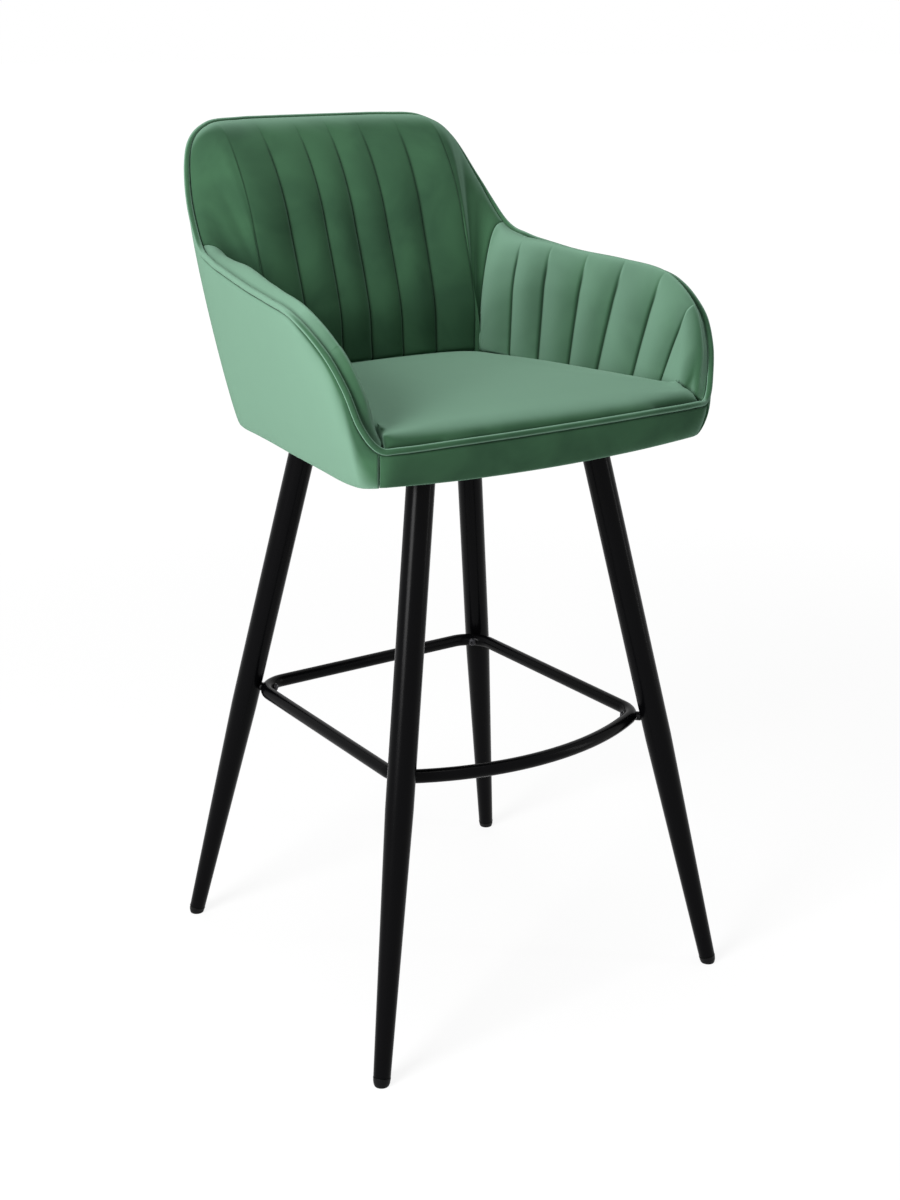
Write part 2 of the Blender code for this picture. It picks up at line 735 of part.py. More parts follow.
FRONT_TOP = (BASE_HALF_WIDTH - FRONT_LEG_SIDE_INSET, FRONT_LEG_INSET - BASE_FRONT_REACH)
FRONT_FOOT = (FRONT_TOP[0] + FRONT_LEG_SIDE_SPLAY, FRONT_TOP[1] - FRONT_LEG_SPLAY)
BACK_TOP = (BASE_HALF_WIDTH - BACK_LEG_SIDE_INSET, BASE_BACK_REACH - BACK_LEG_INSET)
BACK_FOOT = (BACK_TOP[0] + BACK_LEG_SIDE_SPLAY, BACK_TOP[1] + BACK_LEG_SPLAY)
LEGS = (
    Leg("front_left", -1, FRONT_FOOT, FRONT_TOP),
    Leg("front_right", 1, FRONT_FOOT, FRONT_TOP),
    Leg("back_left", -1, BACK_FOOT, BACK_TOP),
    Leg("back_right", 1, BACK_FOOT, BACK_TOP),
)


def leg_angles(leg):
    """Directions round the tube, in step with the points of the plate's outline."""
    start = leg.lobe_angle(0)
    return [start + math.tau * (index - (LOBE_SIDES - 1) / 2) / LEG_SIDES for index in range(LEG_SIDES)]


def leg_ring(leg, radius, height):
    """A ring square to the leg's axis."""
    across = (Vector((1, 0, 0)) - leg.axis * leg.axis.x).normalized()
    beside = leg.axis.cross(across)
    centre = leg.at_height(height)
    return [centre + (across * math.cos(a) + beside * math.sin(a)) * radius for a in leg_angles(leg)]


def raised_ring(leg, ring, height):
    """A ring moved along the leg's axis onto a level plane."""
    return [point + leg.axis * ((height - point.z) / leg.axis.z) for point in ring]


def plate_outline(leg, height):
    """Rounded three-lobed outline of the plate that is welded on the tube."""
    outline = []
    for lobe, place in enumerate(leg.bolt_places()):
        for index in range(LOBE_SIDES):
            turn = math.tau / PLATE_LOBES * (index / (LOBE_SIDES - 1) - 1 / 2)
            angle = leg.lobe_angle(lobe) + turn
            point = place + Vector((math.cos(angle), math.sin(angle), 0)) * PLATE_LOBE_RADIUS
            point.z = height
            outline.append(point)
    return outline


def leg_tube(leg, parent):
    """Tapered tube, open at the foot, with its bolting plate welded across the top."""
    foot_height = LEG_FOOT_LENGTH * leg.axis.z
    outer = [
        leg_ring(leg, leg.radius_at(foot_height), foot_height),
        leg_ring(leg, leg.radius_at(LEG_TAPER_HEIGHT), LEG_TAPER_HEIGHT),
    ]
    outer.append(raised_ring(leg, outer[-1], PLATE_BOTTOM))
    inner = [
        leg_ring(leg, leg.radius_at(foot_height) - LEG_WALL, foot_height),
        leg_ring(leg, LEG_RADIUS - LEG_WALL, LEG_TAPER_HEIGHT),
    ]
    inner.append(raised_ring(leg, inner[-1], PLATE_BOTTOM))
    plate = [plate_outline(leg, PLATE_BOTTOM), plate_outline(leg, PLATE_TOP)]
    name = "leg_" + leg.name
    tube = add_object(name, loft(name, inner[::-1] + outer + plate), parent)
    powder_coat(tube)
    for index, place in enumerate(leg.bolt_places()):
        cut(tube, bolt_hole_cutter(f"{name}_hole_{index}", place, PLATE_BOTTOM, PLATE_TOP, parent))
    axis_point = leg.at_height(FOOTREST_HEIGHT)
    radius = INSERT_DIAMETER / 2 + HOLE_CLEARANCE
    outside = axis_point - leg.diagonal * (leg.reach(FOOTREST_HEIGHT) + CUT_OVERRUN)
    cut(tube, cylinder_cutter(name + "_insert_hole", radius, outside, axis_point, FASTENER_SIDES, parent))


def glide(leg, parent):
    """Plastic foot with a stem inside the tube, rounded at the tip and cut flat on the floor."""
    foot_radius = leg.radius_at(LEG_FOOT_LENGTH * leg.axis.z)
    stem = foot_radius - LEG_WALL - FIT_GAP
    shoulder = LEG_FOOT_LENGTH - FIT_GAP
    profile = [(foot_radius * wide, shoulder * high) for high, wide in GLIDE_HEAD_SHARES]
    profile += [(foot_radius, shoulder), (stem, shoulder)]
    profile.append((stem - GLIDE_STEM_TAPER, shoulder + GLIDE_STEM_LENGTH))
    name = "glide_" + leg.name
    shape = bmesh.new()
    shape.from_mesh(turned_solid(name, profile, GLIDE_SIDES))
    lean = Vector((0, 0, 1)).rotation_difference(leg.axis).to_matrix()
    bmesh.ops.rotate(shape, verts=shape.verts[:], cent=(0, 0, 0), matrix=lean)
    solid = shape.verts[:] + shape.edges[:] + shape.faces[:]
    floor = bmesh.ops.bisect_plane(shape, geom=solid, plane_no=(0, 0, -1), clear_outer=True)
    edges = [item for item in floor["geom_cut"] if isinstance(item, bmesh.types.BMEdge)]
    bmesh.ops.contextual_create(shape, geom=edges)
    face_outwards(shape)
    foot = add_object(name, mesh_from_bmesh(name, shape), parent)
    foot.location = leg.foot
    black_plastic(foot)


# Footrest

class FootrestCorner:
    """Where the ring's bend faces one leg: the bend's centre, its direction, and the tube's axis there."""

    def __init__(self, leg, standoff):
        self.leg = leg
        self.outward = leg.diagonal
        axis_point = leg.at_height(FOOTREST_HEIGHT)
        self.leg_face = axis_point - self.outward * leg.reach(FOOTREST_HEIGHT)
        self.tube_face = self.leg_face - self.outward * standoff
        self.tube_axis = self.tube_face - self.outward * FOOTREST_RADIUS
        self.bend_centre = self.tube_axis - self.outward * FOOTREST_BEND_RADIUS


def footrest_corners():
    return [FootrestCorner(leg, FRONT_STANDOFF if leg.foot.y < 0 else BACK_STANDOFF) for leg in LEGS]


def bend_points(centre, radius, start, end, steps):
    """Points of a level arc between two angles in degrees."""
    points = []
    for index in range(steps):
        angle = math.radians(mix(start, end, index / (steps - 1)))
        points.append(centre + Vector((math.cos(angle), math.sin(angle), 0)) * radius)
    return points


def footrest_path():
    """Centre line of the ring: two back bends, two front bends, and the bowed front rail between them."""
    front_left, front_right, back_left, back_right = footrest_corners()
    front, back = front_right.bend_centre, back_right.bend_centre
    side_lean = math.degrees(math.atan2(front.x - back.x, back.y - front.y))
    radius = FOOTREST_BEND_RADIUS
    reach = radius + FOOTREST_BOW_DEPTH
    bow_radius = (front.x ** 2 + reach ** 2 - radius ** 2) / (2 * (reach - radius))
    bow_centre = Vector((0, front.y - reach + bow_radius, FOOTREST_HEIGHT))
    bow_angle = math.degrees(math.atan2(front.x, bow_centre.y - front.y))
    path = bend_points(back, radius, side_lean, 90, BEND_STEPS)
    path += bend_points(back_left.bend_centre, radius, 90, 180 - side_lean, BEND_STEPS)
    path += bend_points(front_left.bend_centre, radius, 180 - side_lean, 270 - bow_angle, BEND_STEPS)
    path += bend_points(bow_centre, bow_radius, 270 - bow_angle, 270 + bow_angle, BOW_STEPS)[1:-1]
    path += bend_points(front, radius, 270 + bow_angle, 360 + side_lean, BEND_STEPS)
    return path


def add_ring_tube(shape, path, radius, sides, inside):
    """A closed tube round a level path; the inside of a bore faces its axis."""
    rings = []
    for before, point, after in zip(path[-1:] + path[:-1], path, path[1:] + path[:1]):
        along = (after - point).normalized() + (point - before).normalized()
        beside = Vector((along.y, -along.x, 0)).normalized()
        ring = []
        for index in range(sides):
            angle = math.tau * index / sides
            offset = beside * math.cos(angle) + Vector((0, 0, 1)) * math.sin(angle)
            ring.append(shape.verts.new(point + offset * radius))
        rings.append(ring)
    for first, second in zip(rings, rings[1:] + rings[:1]):
        for i in range(sides):
            j = (i + 1) % sides
            corners = (first[i], second[i], second[j], first[j])
            shape.faces.new(corners if inside else corners[::-1])


def footrest(parent):
    """Bent tube ring with a screw hole through both walls at each leg."""
    shape = bmesh.new()
    path = footrest_path()
    add_ring_tube(shape, path, FOOTREST_RADIUS, FOOTREST_SIDES, False)
    add_ring_tube(shape, path, FOOTREST_RADIUS - FOOTREST_WALL, FOOTREST_BORE_SIDES, True)
    ring = add_object("footrest", mesh_from_bmesh("footrest", shape), parent)
    powder_coat(ring)
    for corner in footrest_corners():
        reach = corner.outward * (FOOTREST_RADIUS + CUT_OVERRUN)
        start, end = corner.tube_axis - reach, corner.tube_axis + reach
        name = "footrest_hole_" + corner.leg.name
        cut(ring, cylinder_cutter(name, SCREW_HOLE_RADIUS, start, end, FASTENER_SIDES, parent))


def footrest_spacer(corner, parent):
    """Plastic spacer with a hollow on each side, one for the ring's tube and one for the leg."""
    name = "footrest_spacer_" + corner.leg.name
    start, end = corner.tube_axis, corner.leg.at_height(FOOTREST_HEIGHT)
    profile = ((SPACER_DIAMETER / 2, 0), (SPACER_DIAMETER / 2, (end - start).length))
    spacer = add_object(name, turned_solid(name, profile, SPACER_SIDES), parent)
    point_along(spacer, start, corner.outward)
    black_plastic(spacer)
    across = corner.outward.cross(Vector((0, 0, 1)))
    cut(spacer, crosswise_cutter(name + "_tube", FOOTREST_RADIUS + FIT_GAP, start, across, parent))
    cut(spacer, crosswise_cutter(name + "_leg", LEG_RADIUS + FIT_GAP, end, corner.leg.axis, parent))
    cut(spacer, cylinder_cutter(name + "_hole", SCREW_HOLE_RADIUS, start, end, FASTENER_SIDES, parent))


def crosswise_cutter(name, radius, middle, direction, parent):
    """A cylinder across a spacer, with its flats outside the radius."""
    reach = direction * SPACER_DIAMETER
    corner_radius = radius / math.cos(math.pi / HOLLOW_SIDES)
    return cylinder_cutter(name, corner_radius, middle - reach, middle + reach, HOLLOW_SIDES, parent)


# Fasteners

def headed_profile(head_radius, head_height, shank_radius, shank_length):
    """A button head below zero and a plain shank above it."""
    profile = [(head_radius * wide, -head_height * low) for wide, low in BUTTON_HEAD_SHARES]
    return profile + [(head_radius, 0), (shank_radius, 0), (shank_radius, shank_length)]


def footrest_screw(corner, parent):
    """Button-head screw from inside the ring, through the spacer, into the leg's threaded insert."""
    name = "footrest_screw_" + corner.leg.name
    seat = corner.tube_axis - corner.outward * (FOOTREST_RADIUS + SCREW_HEAD_STANDOFF)
    tip = corner.leg_face + corner.outward * (INSERT_LENGTH - SCREW_END_SPACE)
    shank = (tip - seat).length
    profile = headed_profile(SCREW_HEAD_DIAMETER / 2, SCREW_HEAD_HEIGHT, SCREW_DIAMETER / 2, shank)
    screw = add_object(name, turned_solid(name, profile, FASTENER_SIDES), parent)
    point_along(screw, seat, corner.outward)
    black_steel(screw)


def leg_insert(corner, parent):
    """Threaded insert through the leg's wall, its outer end trimmed to the round of the leg."""
    name = "leg_insert_" + corner.leg.name
    radius = INSERT_DIAMETER / 2
    profile = (
        (SCREW_HOLE_RADIUS, -radius), (radius, -radius),
        (radius, INSERT_LENGTH), (SCREW_HOLE_RADIUS, INSERT_LENGTH),
    )
    insert = add_object(name, turned_sleeve(name, profile, FASTENER_SIDES), parent)
    point_along(insert, corner.leg_face, corner.outward)
    zinc_plate(insert)
    middle = corner.leg.at_height(FOOTREST_HEIGHT)
    trim = insert.modifiers.new("trim", "BOOLEAN")
    trim.operation = "INTERSECT"
    trim.solver = "EXACT"
    trim.object = crosswise_cutter(name + "_trim", LEG_RADIUS - FIT_GAP, middle, corner.leg.axis, parent)


def leg_bolt(name, place, parent):
    """Button-head bolt through the leg's plate and the cloth, up into the seat board's nut."""
    seat = PLATE_BOTTOM - FIT_GAP
    shank = SEAT_BOARD_TOP - BOLT_END_SPACE - seat
    profile = headed_profile(BOLT_HEAD_DIAMETER / 2, BOLT_HEAD_HEIGHT, BOLT_DIAMETER / 2, shank)
    bolt = add_object(name, turned_solid(name, profile, FASTENER_SIDES), parent)
    bolt.location = (place.x, place.y, seat)
    black_steel(bolt)


def t_nut(name, place, parent):
    """Flanged nut pressed into the seat board from above."""
    barrel = T_NUT_BARREL_DIAMETER / 2
    flange = T_NUT_FLANGE_DIAMETER / 2
    shoulder = T_NUT_LENGTH - T_NUT_FLANGE_THICKNESS
    profile = (
        (BOLT_HOLE_RADIUS, 0), (barrel, 0), (barrel, shoulder), (flange, shoulder),
        (flange, T_NUT_LENGTH), (BOLT_HOLE_RADIUS, T_NUT_LENGTH),
    )
    nut = add_object(name, turned_sleeve(name, profile, FASTENER_SIDES), parent)
    nut.location = (place.x, place.y, SEAT_BOARD_TOP - T_NUT_LENGTH)
    zinc_plate(nut)


def centre_on_origin(root):
    """Moves the stool until the origin lies on the floor under the middle of its box."""
    bpy.context.view_layer.update()
    pieces = [thing for thing in root.children if not thing.hide_render]
    reach = [(thing.matrix_world @ Vector(corner)).y for thing in pieces for corner in thing.bound_box]
    root.location.y = -(min(reach) + max(reach)) / 2


def build():
    clear_scene()
    root = bpy.data.objects.new("stool_origin", None)
    bpy.context.scene.collection.objects.link(root)
    outer_cover(root)
    tub_board(root)
    tub_cushion("back_cushion", -JUNCTION_ROW, JUNCTION_ROW, root)
    tub_cushion("arm_cushion_left", -ARM_FRONT_ROW, -JUNCTION_ROW, root)
    tub_cushion("arm_cushion_right", JUNCTION_ROW, ARM_FRONT_ROW, root)
    seat_cushion(root)
    front_apron(root)
    rim_piping(root)
    seat_board(root)
    bottom_cloth(root)
    for leg in LEGS:
        leg_tube(leg, root)
        glide(leg, root)
        for index, place in enumerate(leg.bolt_places()):
            leg_bolt(f"leg_bolt_{leg.name}_{index + 1}", place, root)
            t_nut(f"t_nut_{leg.name}_{index + 1}", place, root)
    footrest(root)
    for corner in footrest_corners():
        footrest_spacer(corner, root)
        footrest_screw(corner, root)
        leg_insert(corner, root)
    centre_on_origin(root)


build()
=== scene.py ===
"""Bar stool: a velvet tub seat with arms on four black tube legs, joined by a bent tube footrest."""
import math

import bmesh
import bpy
from mathutils import Matrix, Vector, noise
from mathutils.bvhtree import BVHTree


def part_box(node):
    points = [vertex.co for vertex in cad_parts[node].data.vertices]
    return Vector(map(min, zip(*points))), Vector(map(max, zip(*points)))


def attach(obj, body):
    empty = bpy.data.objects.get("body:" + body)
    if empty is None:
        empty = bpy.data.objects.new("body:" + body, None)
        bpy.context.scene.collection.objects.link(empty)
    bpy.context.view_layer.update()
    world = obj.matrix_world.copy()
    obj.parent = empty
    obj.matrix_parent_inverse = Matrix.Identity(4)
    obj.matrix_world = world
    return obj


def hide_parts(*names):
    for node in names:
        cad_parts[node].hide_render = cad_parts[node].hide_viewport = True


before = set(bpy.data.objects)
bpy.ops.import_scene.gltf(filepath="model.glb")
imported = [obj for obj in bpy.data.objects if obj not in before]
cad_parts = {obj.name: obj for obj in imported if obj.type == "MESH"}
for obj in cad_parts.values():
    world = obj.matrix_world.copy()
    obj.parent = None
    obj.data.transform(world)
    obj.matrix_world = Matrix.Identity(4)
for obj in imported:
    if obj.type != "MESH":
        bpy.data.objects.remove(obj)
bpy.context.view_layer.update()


# Camera: it stands to the left of the stool's front, a little above the seat, and looks slightly
# down, so that the outside of the left arm and the inside of the right arm both show.
CAMERA_PLACE = Vector((-1.12793, -1.72032, 1.14029))
CAMERA_RIGHT = Vector((0.82999, -0.55778, 0))
CAMERA_UP = Vector((0.17642, 0.26252, 0.94866))
CAMERA_LENS_MM = 52.755

camera_data = bpy.data.cameras.new("camera")
camera_data.lens = CAMERA_LENS_MM
camera = bpy.data.objects.new("camera", camera_data)
bpy.context.scene.collection.objects.link(camera)
camera_axes = Matrix((CAMERA_RIGHT, CAMERA_UP, CAMERA_RIGHT.cross(CAMERA_UP))).transposed()
camera.matrix_world = Matrix.Translation(CAMERA_PLACE) @ camera_axes.to_4x4()
bpy.context.scene.camera = camera


# Studio: a white paper floor with white all round it, one tall softbox on the left, a square one
# above and a weak strip on the right, whose two sides draw lengthwise lines on the black legs. The
# paper is white to the eye and keeps the stool's shadow.
FLOOR_REACH = 40.0
FLOOR_DROP = 0.0005
FLOOR_WHITE = "#f4f4f4"
FLOOR_GLOW_STRENGTH = 1.04
FLOOR_GLOW_SHARES = (0.85, 0.985)
FLOOR_GLOW_REACH = (0.5, 3.0)
AMBIENT_STRENGTH = 0.16
SOFTBOXES = (
    # name, place, width, height, watts
    ("softbox_left", (-2.55, -0.8, 1.65), 1.1, 2.0, 116),
    ("softbox_top", (0.1, 0.1, 2.9), 1.6, 1.6, 29),
    ("softbox_right", (2.0, -1.8, 1.1), 0.22, 1.8, 8),
)
SOFTBOX_AIM = Vector((0, 0, 0.75))


def linear(code):
    """An sRGB hex colour as linear red, green, blue and alpha."""
    parts = [int(code[index:index + 2], 16) / 255 for index in (1, 3, 5)]
    return (*[part / 12.92 if part <= 0.04045 else ((part + 0.055) / 1.055) ** 2.4 for part in parts], 1.0)


def set_sockets(node, sockets):
    """Gives each socket a plain value or another node's output."""
    for name, value in sockets.items():
        if isinstance(value, bpy.types.NodeSocket):
            node.id_data.links.new(value, node.inputs[name])
        else:
            node.inputs[name].default_value = value


def add_node(tree, kind, sockets=None, **settings):
    """Adds a node with its settings and its sockets."""
    node = tree.nodes.new("ShaderNode" + kind)
    for name, value in settings.items():
        setattr(node, name, value)
    set_sockets(node, sockets or {})
    return node


def per_mm(size_mm):
    """A texture scale in object space for one feature of a size in millimetres."""
    return 1000 / size_mm


def seen_as_background(tree):
    """1 for the rays that show the background: straight, mirrored and through glass."""
    rays = add_node(tree, "LightPath")
    first = add_node(tree, "Math", {0: rays.outputs["Is Camera Ray"], 1: rays.outputs["Is Glossy Ray"]},
                     operation="MAXIMUM")
    return add_node(tree, "Math", {0: first.outputs[0], 1: rays.outputs["Is Transmission Ray"]},
                    operation="MAXIMUM").outputs[0]


world = bpy.data.worlds.new("white_studio")
world.use_nodes = True
tree = world.node_tree
tree.nodes.clear()
ambient = add_node(tree, "Background", {"Color": (1, 1, 1, 1), "Strength": AMBIENT_STRENGTH})
white = add_node(tree, "Background", {"Color": (1, 1, 1, 1), "Strength": 1.0})
both = add_node(tree, "MixShader", {0: seen_as_background(tree), 1: ambient.outputs[0], 2: white.outputs[0]})
add_node(tree, "OutputWorld", {"Surface": both.outputs[0]})
bpy.context.scene.world = world
bpy.context.scene.view_settings.view_transform = "Standard"

# White seamless paper; near the stool the lamps alone light a little more of it, so that the
# shadows under the feet stay
paper = bpy.data.materials.new("white_paper")
paper.use_nodes = True
tree = paper.node_tree
tree.nodes.clear()
place = add_node(tree, "TexCoord").outputs["Object"]
distance = add_node(tree, "VectorMath", {0: place}, operation="LENGTH")
glow_share = add_node(tree, "MapRange", {
    0: distance.outputs["Value"], 1: FLOOR_GLOW_REACH[0], 2: FLOOR_GLOW_REACH[1],
    3: FLOOR_GLOW_SHARES[0], 4: FLOOR_GLOW_SHARES[1]}, interpolation_type="SMOOTHSTEP")
fibres = add_node(tree, "TexNoise", {"Vector": place, "Scale": per_mm(4), "Detail": 2.0})
relief = add_node(tree, "Bump", {"Strength": 0.05, "Distance": 0.0002, "Height": fibres.outputs[0]})
matt = add_node(tree, "BsdfDiffuse", {"Color": linear(FLOOR_WHITE), "Normal": relief.outputs[0]})
glow = add_node(tree, "Emission", {"Strength": FLOOR_GLOW_STRENGTH})
share = add_node(tree, "Math", {0: seen_as_background(tree), 1: glow_share.outputs[0]}, operation="MULTIPLY")
both = add_node(tree, "MixShader", {0: share.outputs[0], 1: matt.outputs[0], 2: glow.outputs[0]})
add_node(tree, "OutputMaterial", {"Surface": both.outputs[0]})


def add_piece(mesh):
    piece = bpy.data.objects.new(mesh.name, mesh)
    bpy.context.scene.collection.objects.link(piece)
    return piece


floor_shape = bmesh.new()
bmesh.ops.create_grid(floor_shape, x_segments=24, y_segments=24, size=FLOOR_REACH)
bmesh.ops.translate(floor_shape, verts=floor_shape.verts[:], vec=(0, 0, -FLOOR_DROP))
floor_mesh = bpy.data.meshes.new("floor")
floor_shape.to_mesh(floor_mesh)
floor_shape.free()
floor_mesh.materials.append(paper)
add_piece(floor_mesh)

for name, place, width, height, watts in SOFTBOXES:
    lamp_data = bpy.data.lights.new(name, "AREA")
    lamp_data.shape = "RECTANGLE"
    lamp_data.size = width
    lamp_data.size_y = height
    lamp_data.energy = watts
    lamp = bpy.data.objects.new(name, lamp_data)
    bpy.context.scene.collection.objects.link(lamp)
    lamp.location = place
    lamp.rotation_euler = (SOFTBOX_AIM - Vector(place)).to_track_quat("-Z", "Y").to_euler()


# Tub board, seat board and T-nuts: birch plywood, the tub board moulded round the seat, with
# zinc-plated nuts hammered in from above for the legs' bolts. All of it is hidden when sewn up.
PLY_PALE = "#d9bd8f"
PLY_DARK = "#b9905c"
PLY_LAYER_MM = 1.4
GRAIN_LENGTH_MM = 60.0
GRAIN_WIDTH_MM = 3.0
ZINC_COLOUR = "#c3c6cb"
LEG_NAMES = ("front_left", "front_right", "back_left", "back_right")
BOLT_NUMBERS = (1, 2, 3)


def new_material(name):
    """An empty material: itself, its nodes, its shader, and object space for its patterns."""
    material = bpy.data.materials.new(name)
    material.use_nodes = True
    tree = material.node_tree
    return material, tree, tree.nodes["Principled BSDF"], add_node(tree, "TexCoord").outputs["Object"]


def finish_nodes(material, *names):
    for name in names:
        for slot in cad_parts[name].material_slots:
            slot.material = material


# Sanded birch: long pale figure with slightly darker late wood, dry and without varnish
birch, tree, shader, place = new_material("sanded_birch_plywood")
stretched = add_node(tree, "Mapping", {"Vector": place, "Scale": (
    per_mm(GRAIN_LENGTH_MM), per_mm(GRAIN_WIDTH_MM), per_mm(PLY_LAYER_MM))})
grain = add_node(tree, "TexNoise", {"Vector": stretched.outputs[0], "Scale": 1.0, "Detail": 4.0})
wood = add_node(tree, "Mix", {0: grain.outputs[0], 6: linear(PLY_PALE), 7: linear(PLY_DARK)},
                data_type="RGBA")
pores = add_node(tree, "Bump", {"Strength": 0.25, "Distance": 0.0002, "Height": grain.outputs[0]})
set_sockets(shader, {"Base Color": wood.outputs[2], "Normal": pores.outputs[0], "Roughness": 0.7})

# Bright zinc plate: a cold metal with faint cloudy spangle
zinc, tree, shader, place = new_material("bright_zinc_plate")
clouds = add_node(tree, "TexNoise", {"Vector": place, "Scale": per_mm(2.5), "Detail": 3.0})
uneven = add_node(tree, "MapRange", {0: clouds.outputs[0], 3: 0.28, 4: 0.46})
set_sockets(shader, {"Base Color": linear(ZINC_COLOUR), "Metallic": 1.0, "Roughness": uneven.outputs[0]})

finish_nodes(birch, "tub_board", "seat_board")
finish_nodes(zinc, *[f"t_nut_{leg}_{number}" for leg in LEG_NAMES for number in BOLT_NUMBERS])


# Seat cushion: one crowned velvet pad of firm foam, tucked under the swell of the back and arms.
# At the front it rolls over the apron's edge down to the piping, to which it is sewn.
TUB_BASE_HEIGHT = 0.672
TUB_MIDDLE_Y = -0.025891
BACK_RISE = 0.346
RIM_HALF_WIDTH = 0.2557
RIM_BACK_REACH = 0.298
RIM_FRONT_REACH = 0.224
# How much farther out the rim lies than the cover's lower edge
SIDE_FLARE = 0.0322
BACK_FLARE = 0.095
FRONT_FLARE = 0.0096
CORNER_LIFT = 0.006
RIM_SHARES = (
    # Middle of the piping, from the middle of the back round to the middle of the front:
    # across of the half width, along of the back or front reach, up of the back's rise
    (0.000, 1.000, 1.000), (0.196, 0.998, 1.000), (0.411, 0.982, 0.999), (0.594, 0.950, 0.988),
    (0.726, 0.885, 0.921), (0.806, 0.767, 0.770), (0.853, 0.606, 0.618), (0.876, 0.470, 0.577),
    (0.899, 0.306, 0.556), (0.932, 0.087, 0.535), (0.972, -0.177, 0.523), (1.000, -0.482, 0.500),
    (0.984, -0.725, 0.416), (0.954, -0.846, 0.318), (0.916, -0.908, 0.208), (0.858, -0.957, 0.143),
    (0.767, -0.982, 0.136), (0.508, -0.992, 0.135), (0.254, -0.998, 0.134), (0.000, -1.000, 0.134),
)
EDGE_SHARES = (
    # Cover's lower edge on the same ribs: across, along, and up of the corner's lift
    (0.000, 1.000, 0.0), (0.224, 1.000, 0.0), (0.447, 0.998, 0.0), (0.649, 0.974, 0.0),
    (0.758, 0.896, 0.0), (0.822, 0.793, 0.0), (0.850, 0.680, 0.0), (0.864, 0.507, 0.0),
    (0.884, 0.300, 0.0), (0.913, 0.044, 0.0), (0.935, -0.163, 0.0), (0.966, -0.443, 0.0),
    (0.987, -0.630, 0.0), (0.998, -0.770, 0.2), (1.000, -0.877, 0.6), (0.958, -0.953, 1.0),
    (0.881, -0.982, 1.0), (0.586, -0.991, 0.4), (0.293, -0.997, 0.1), (0.000, -1.000, 0.0),
)
LAST_ROW = len(RIM_SHARES) - 1
WING_ROW = 3
JUNCTION_ROW = 6
NOSE_ROW = 12
ARM_FRONT_ROW = 15
PIPING_DEPTH = 0.002
PIPING_RADIUS = 0.0035
PIPING_CLEAR = 0.0061
CUSHION_FLOOR = 0.6993
SOFT_GAP = 0.0006
APRON_THICKNESS = 0.014
# How deep the pads lie beside the seat, inward from the tub's outer surface
BACK_TUCK_DEPTH = 0.040
ARM_TUCK_DEPTH = 0.030
NOSE_TUCK_DEPTH = 0.021
TUCK_CLEARANCE = 0.0072
SEAT_EDGE_HEIGHT = 0.728
SEAT_UNDERCUT = 0.004
SEAT_ROLL = 0.0035
SEAT_SHOULDERS = (0.0015, 0.0105)
SEAT_SHOULDER_ROWS = (5, 13)
SEAT_CORE_DEPTH = 0.030
SEAT_CORE_INSET = 0.008
SEAT_TOP = 0.7495
SEAT_CORNER_DROP = 0.003
SEAT_CORNER_REACH = 0.013
# How far past the arm's nose the seat's side steps out to the front edge
FRONT_STEP_ROWS = (0.04, 0.2)
# Shares of the way inward and of the way up, over the rolled edge and over the crown
SEAT_ROLL_SHARES = ((0.12, 0.3), (0.4, 0.66), (0.7, 0.86))
SEAT_CROWN_SHARES = ((0.07, 0.12), (0.15, 0.28), (0.27, 0.53), (0.42, 0.77), (0.6, 0.93), (0.8, 1.0))
SEAT_VOXEL = 0.0045
SEAT_SWELL_LIMIT = 0.003
SEAT_EVEN_ROUNDS = 40
CLOTH_FRAMES = 20
CLOTH_SETTINGS = {
    "quality": 4, "mass": 0.2, "tension_stiffness": 15, "compression_stiffness": 15, "shear_stiffness": 5,
    "bending_stiffness": 3.0, "use_pressure": True, "uniform_pressure_force": 4.0,
}
VELVET_DEEP = "#2f4d38"
VELVET_LIGHT = "#395c42"
# Colour of the painted sheen, mixed in at glancing views
VELVET_PAINTED_SHEEN = "#6d8f7b"
VELVET_SHEEN = "#b4d8c2"


def mix(first, second, share):
    return first + (second - first) * share


def blend(value, low, high):
    """A smooth step from 0 to 1 while the value goes from low to high."""
    share = min(max((value - low) / (high - low), 0), 1)
    return share * share * (3 - 2 * share)


def half_outline(shares, rise, side_flare=0, back_flare=0, front_flare=0):
    """The points of the right half's rows in millimetres, to a tenth."""
    points = []
    for across, along, up in shares:
        x = across * (RIM_HALF_WIDTH - side_flare)
        y = along * (RIM_BACK_REACH - back_flare if along > 0 else RIM_FRONT_REACH - front_flare)
        z = TUB_BASE_HEIGHT + up * rise
        points.append([round(value * 1000, 1) for value in (x, y + TUB_MIDDLE_Y, z)])
    return points


RIM_MM = half_outline(RIM_SHARES, BACK_RISE)
EDGE_MM = half_outline(EDGE_SHARES, CORNER_LIFT, SIDE_FLARE, BACK_FLARE, FRONT_FLARE)


def row_point(half, index):
    """One row's point in metres; negative rows are on the left, and rows wrap at the front."""
    index = (index + LAST_ROW) % (2 * LAST_ROW) - LAST_ROW
    x, y, z = half[abs(index)]
    return Vector((math.copysign(x, index) if index else x, y, z)) / 1000


def curve_through(points, share):
    """A smooth curve between the two middle points of four, and its direction."""
    a, b, c, d = points
    bend = 2 * a - 5 * b + 4 * c - d
    twist = 3 * b - a - 3 * c + d
    place = (2 * b + (c - a) * share + bend * share ** 2 + twist * share ** 3) / 2
    return place, (c - a) + 2 * bend * share + 3 * twist * share ** 2


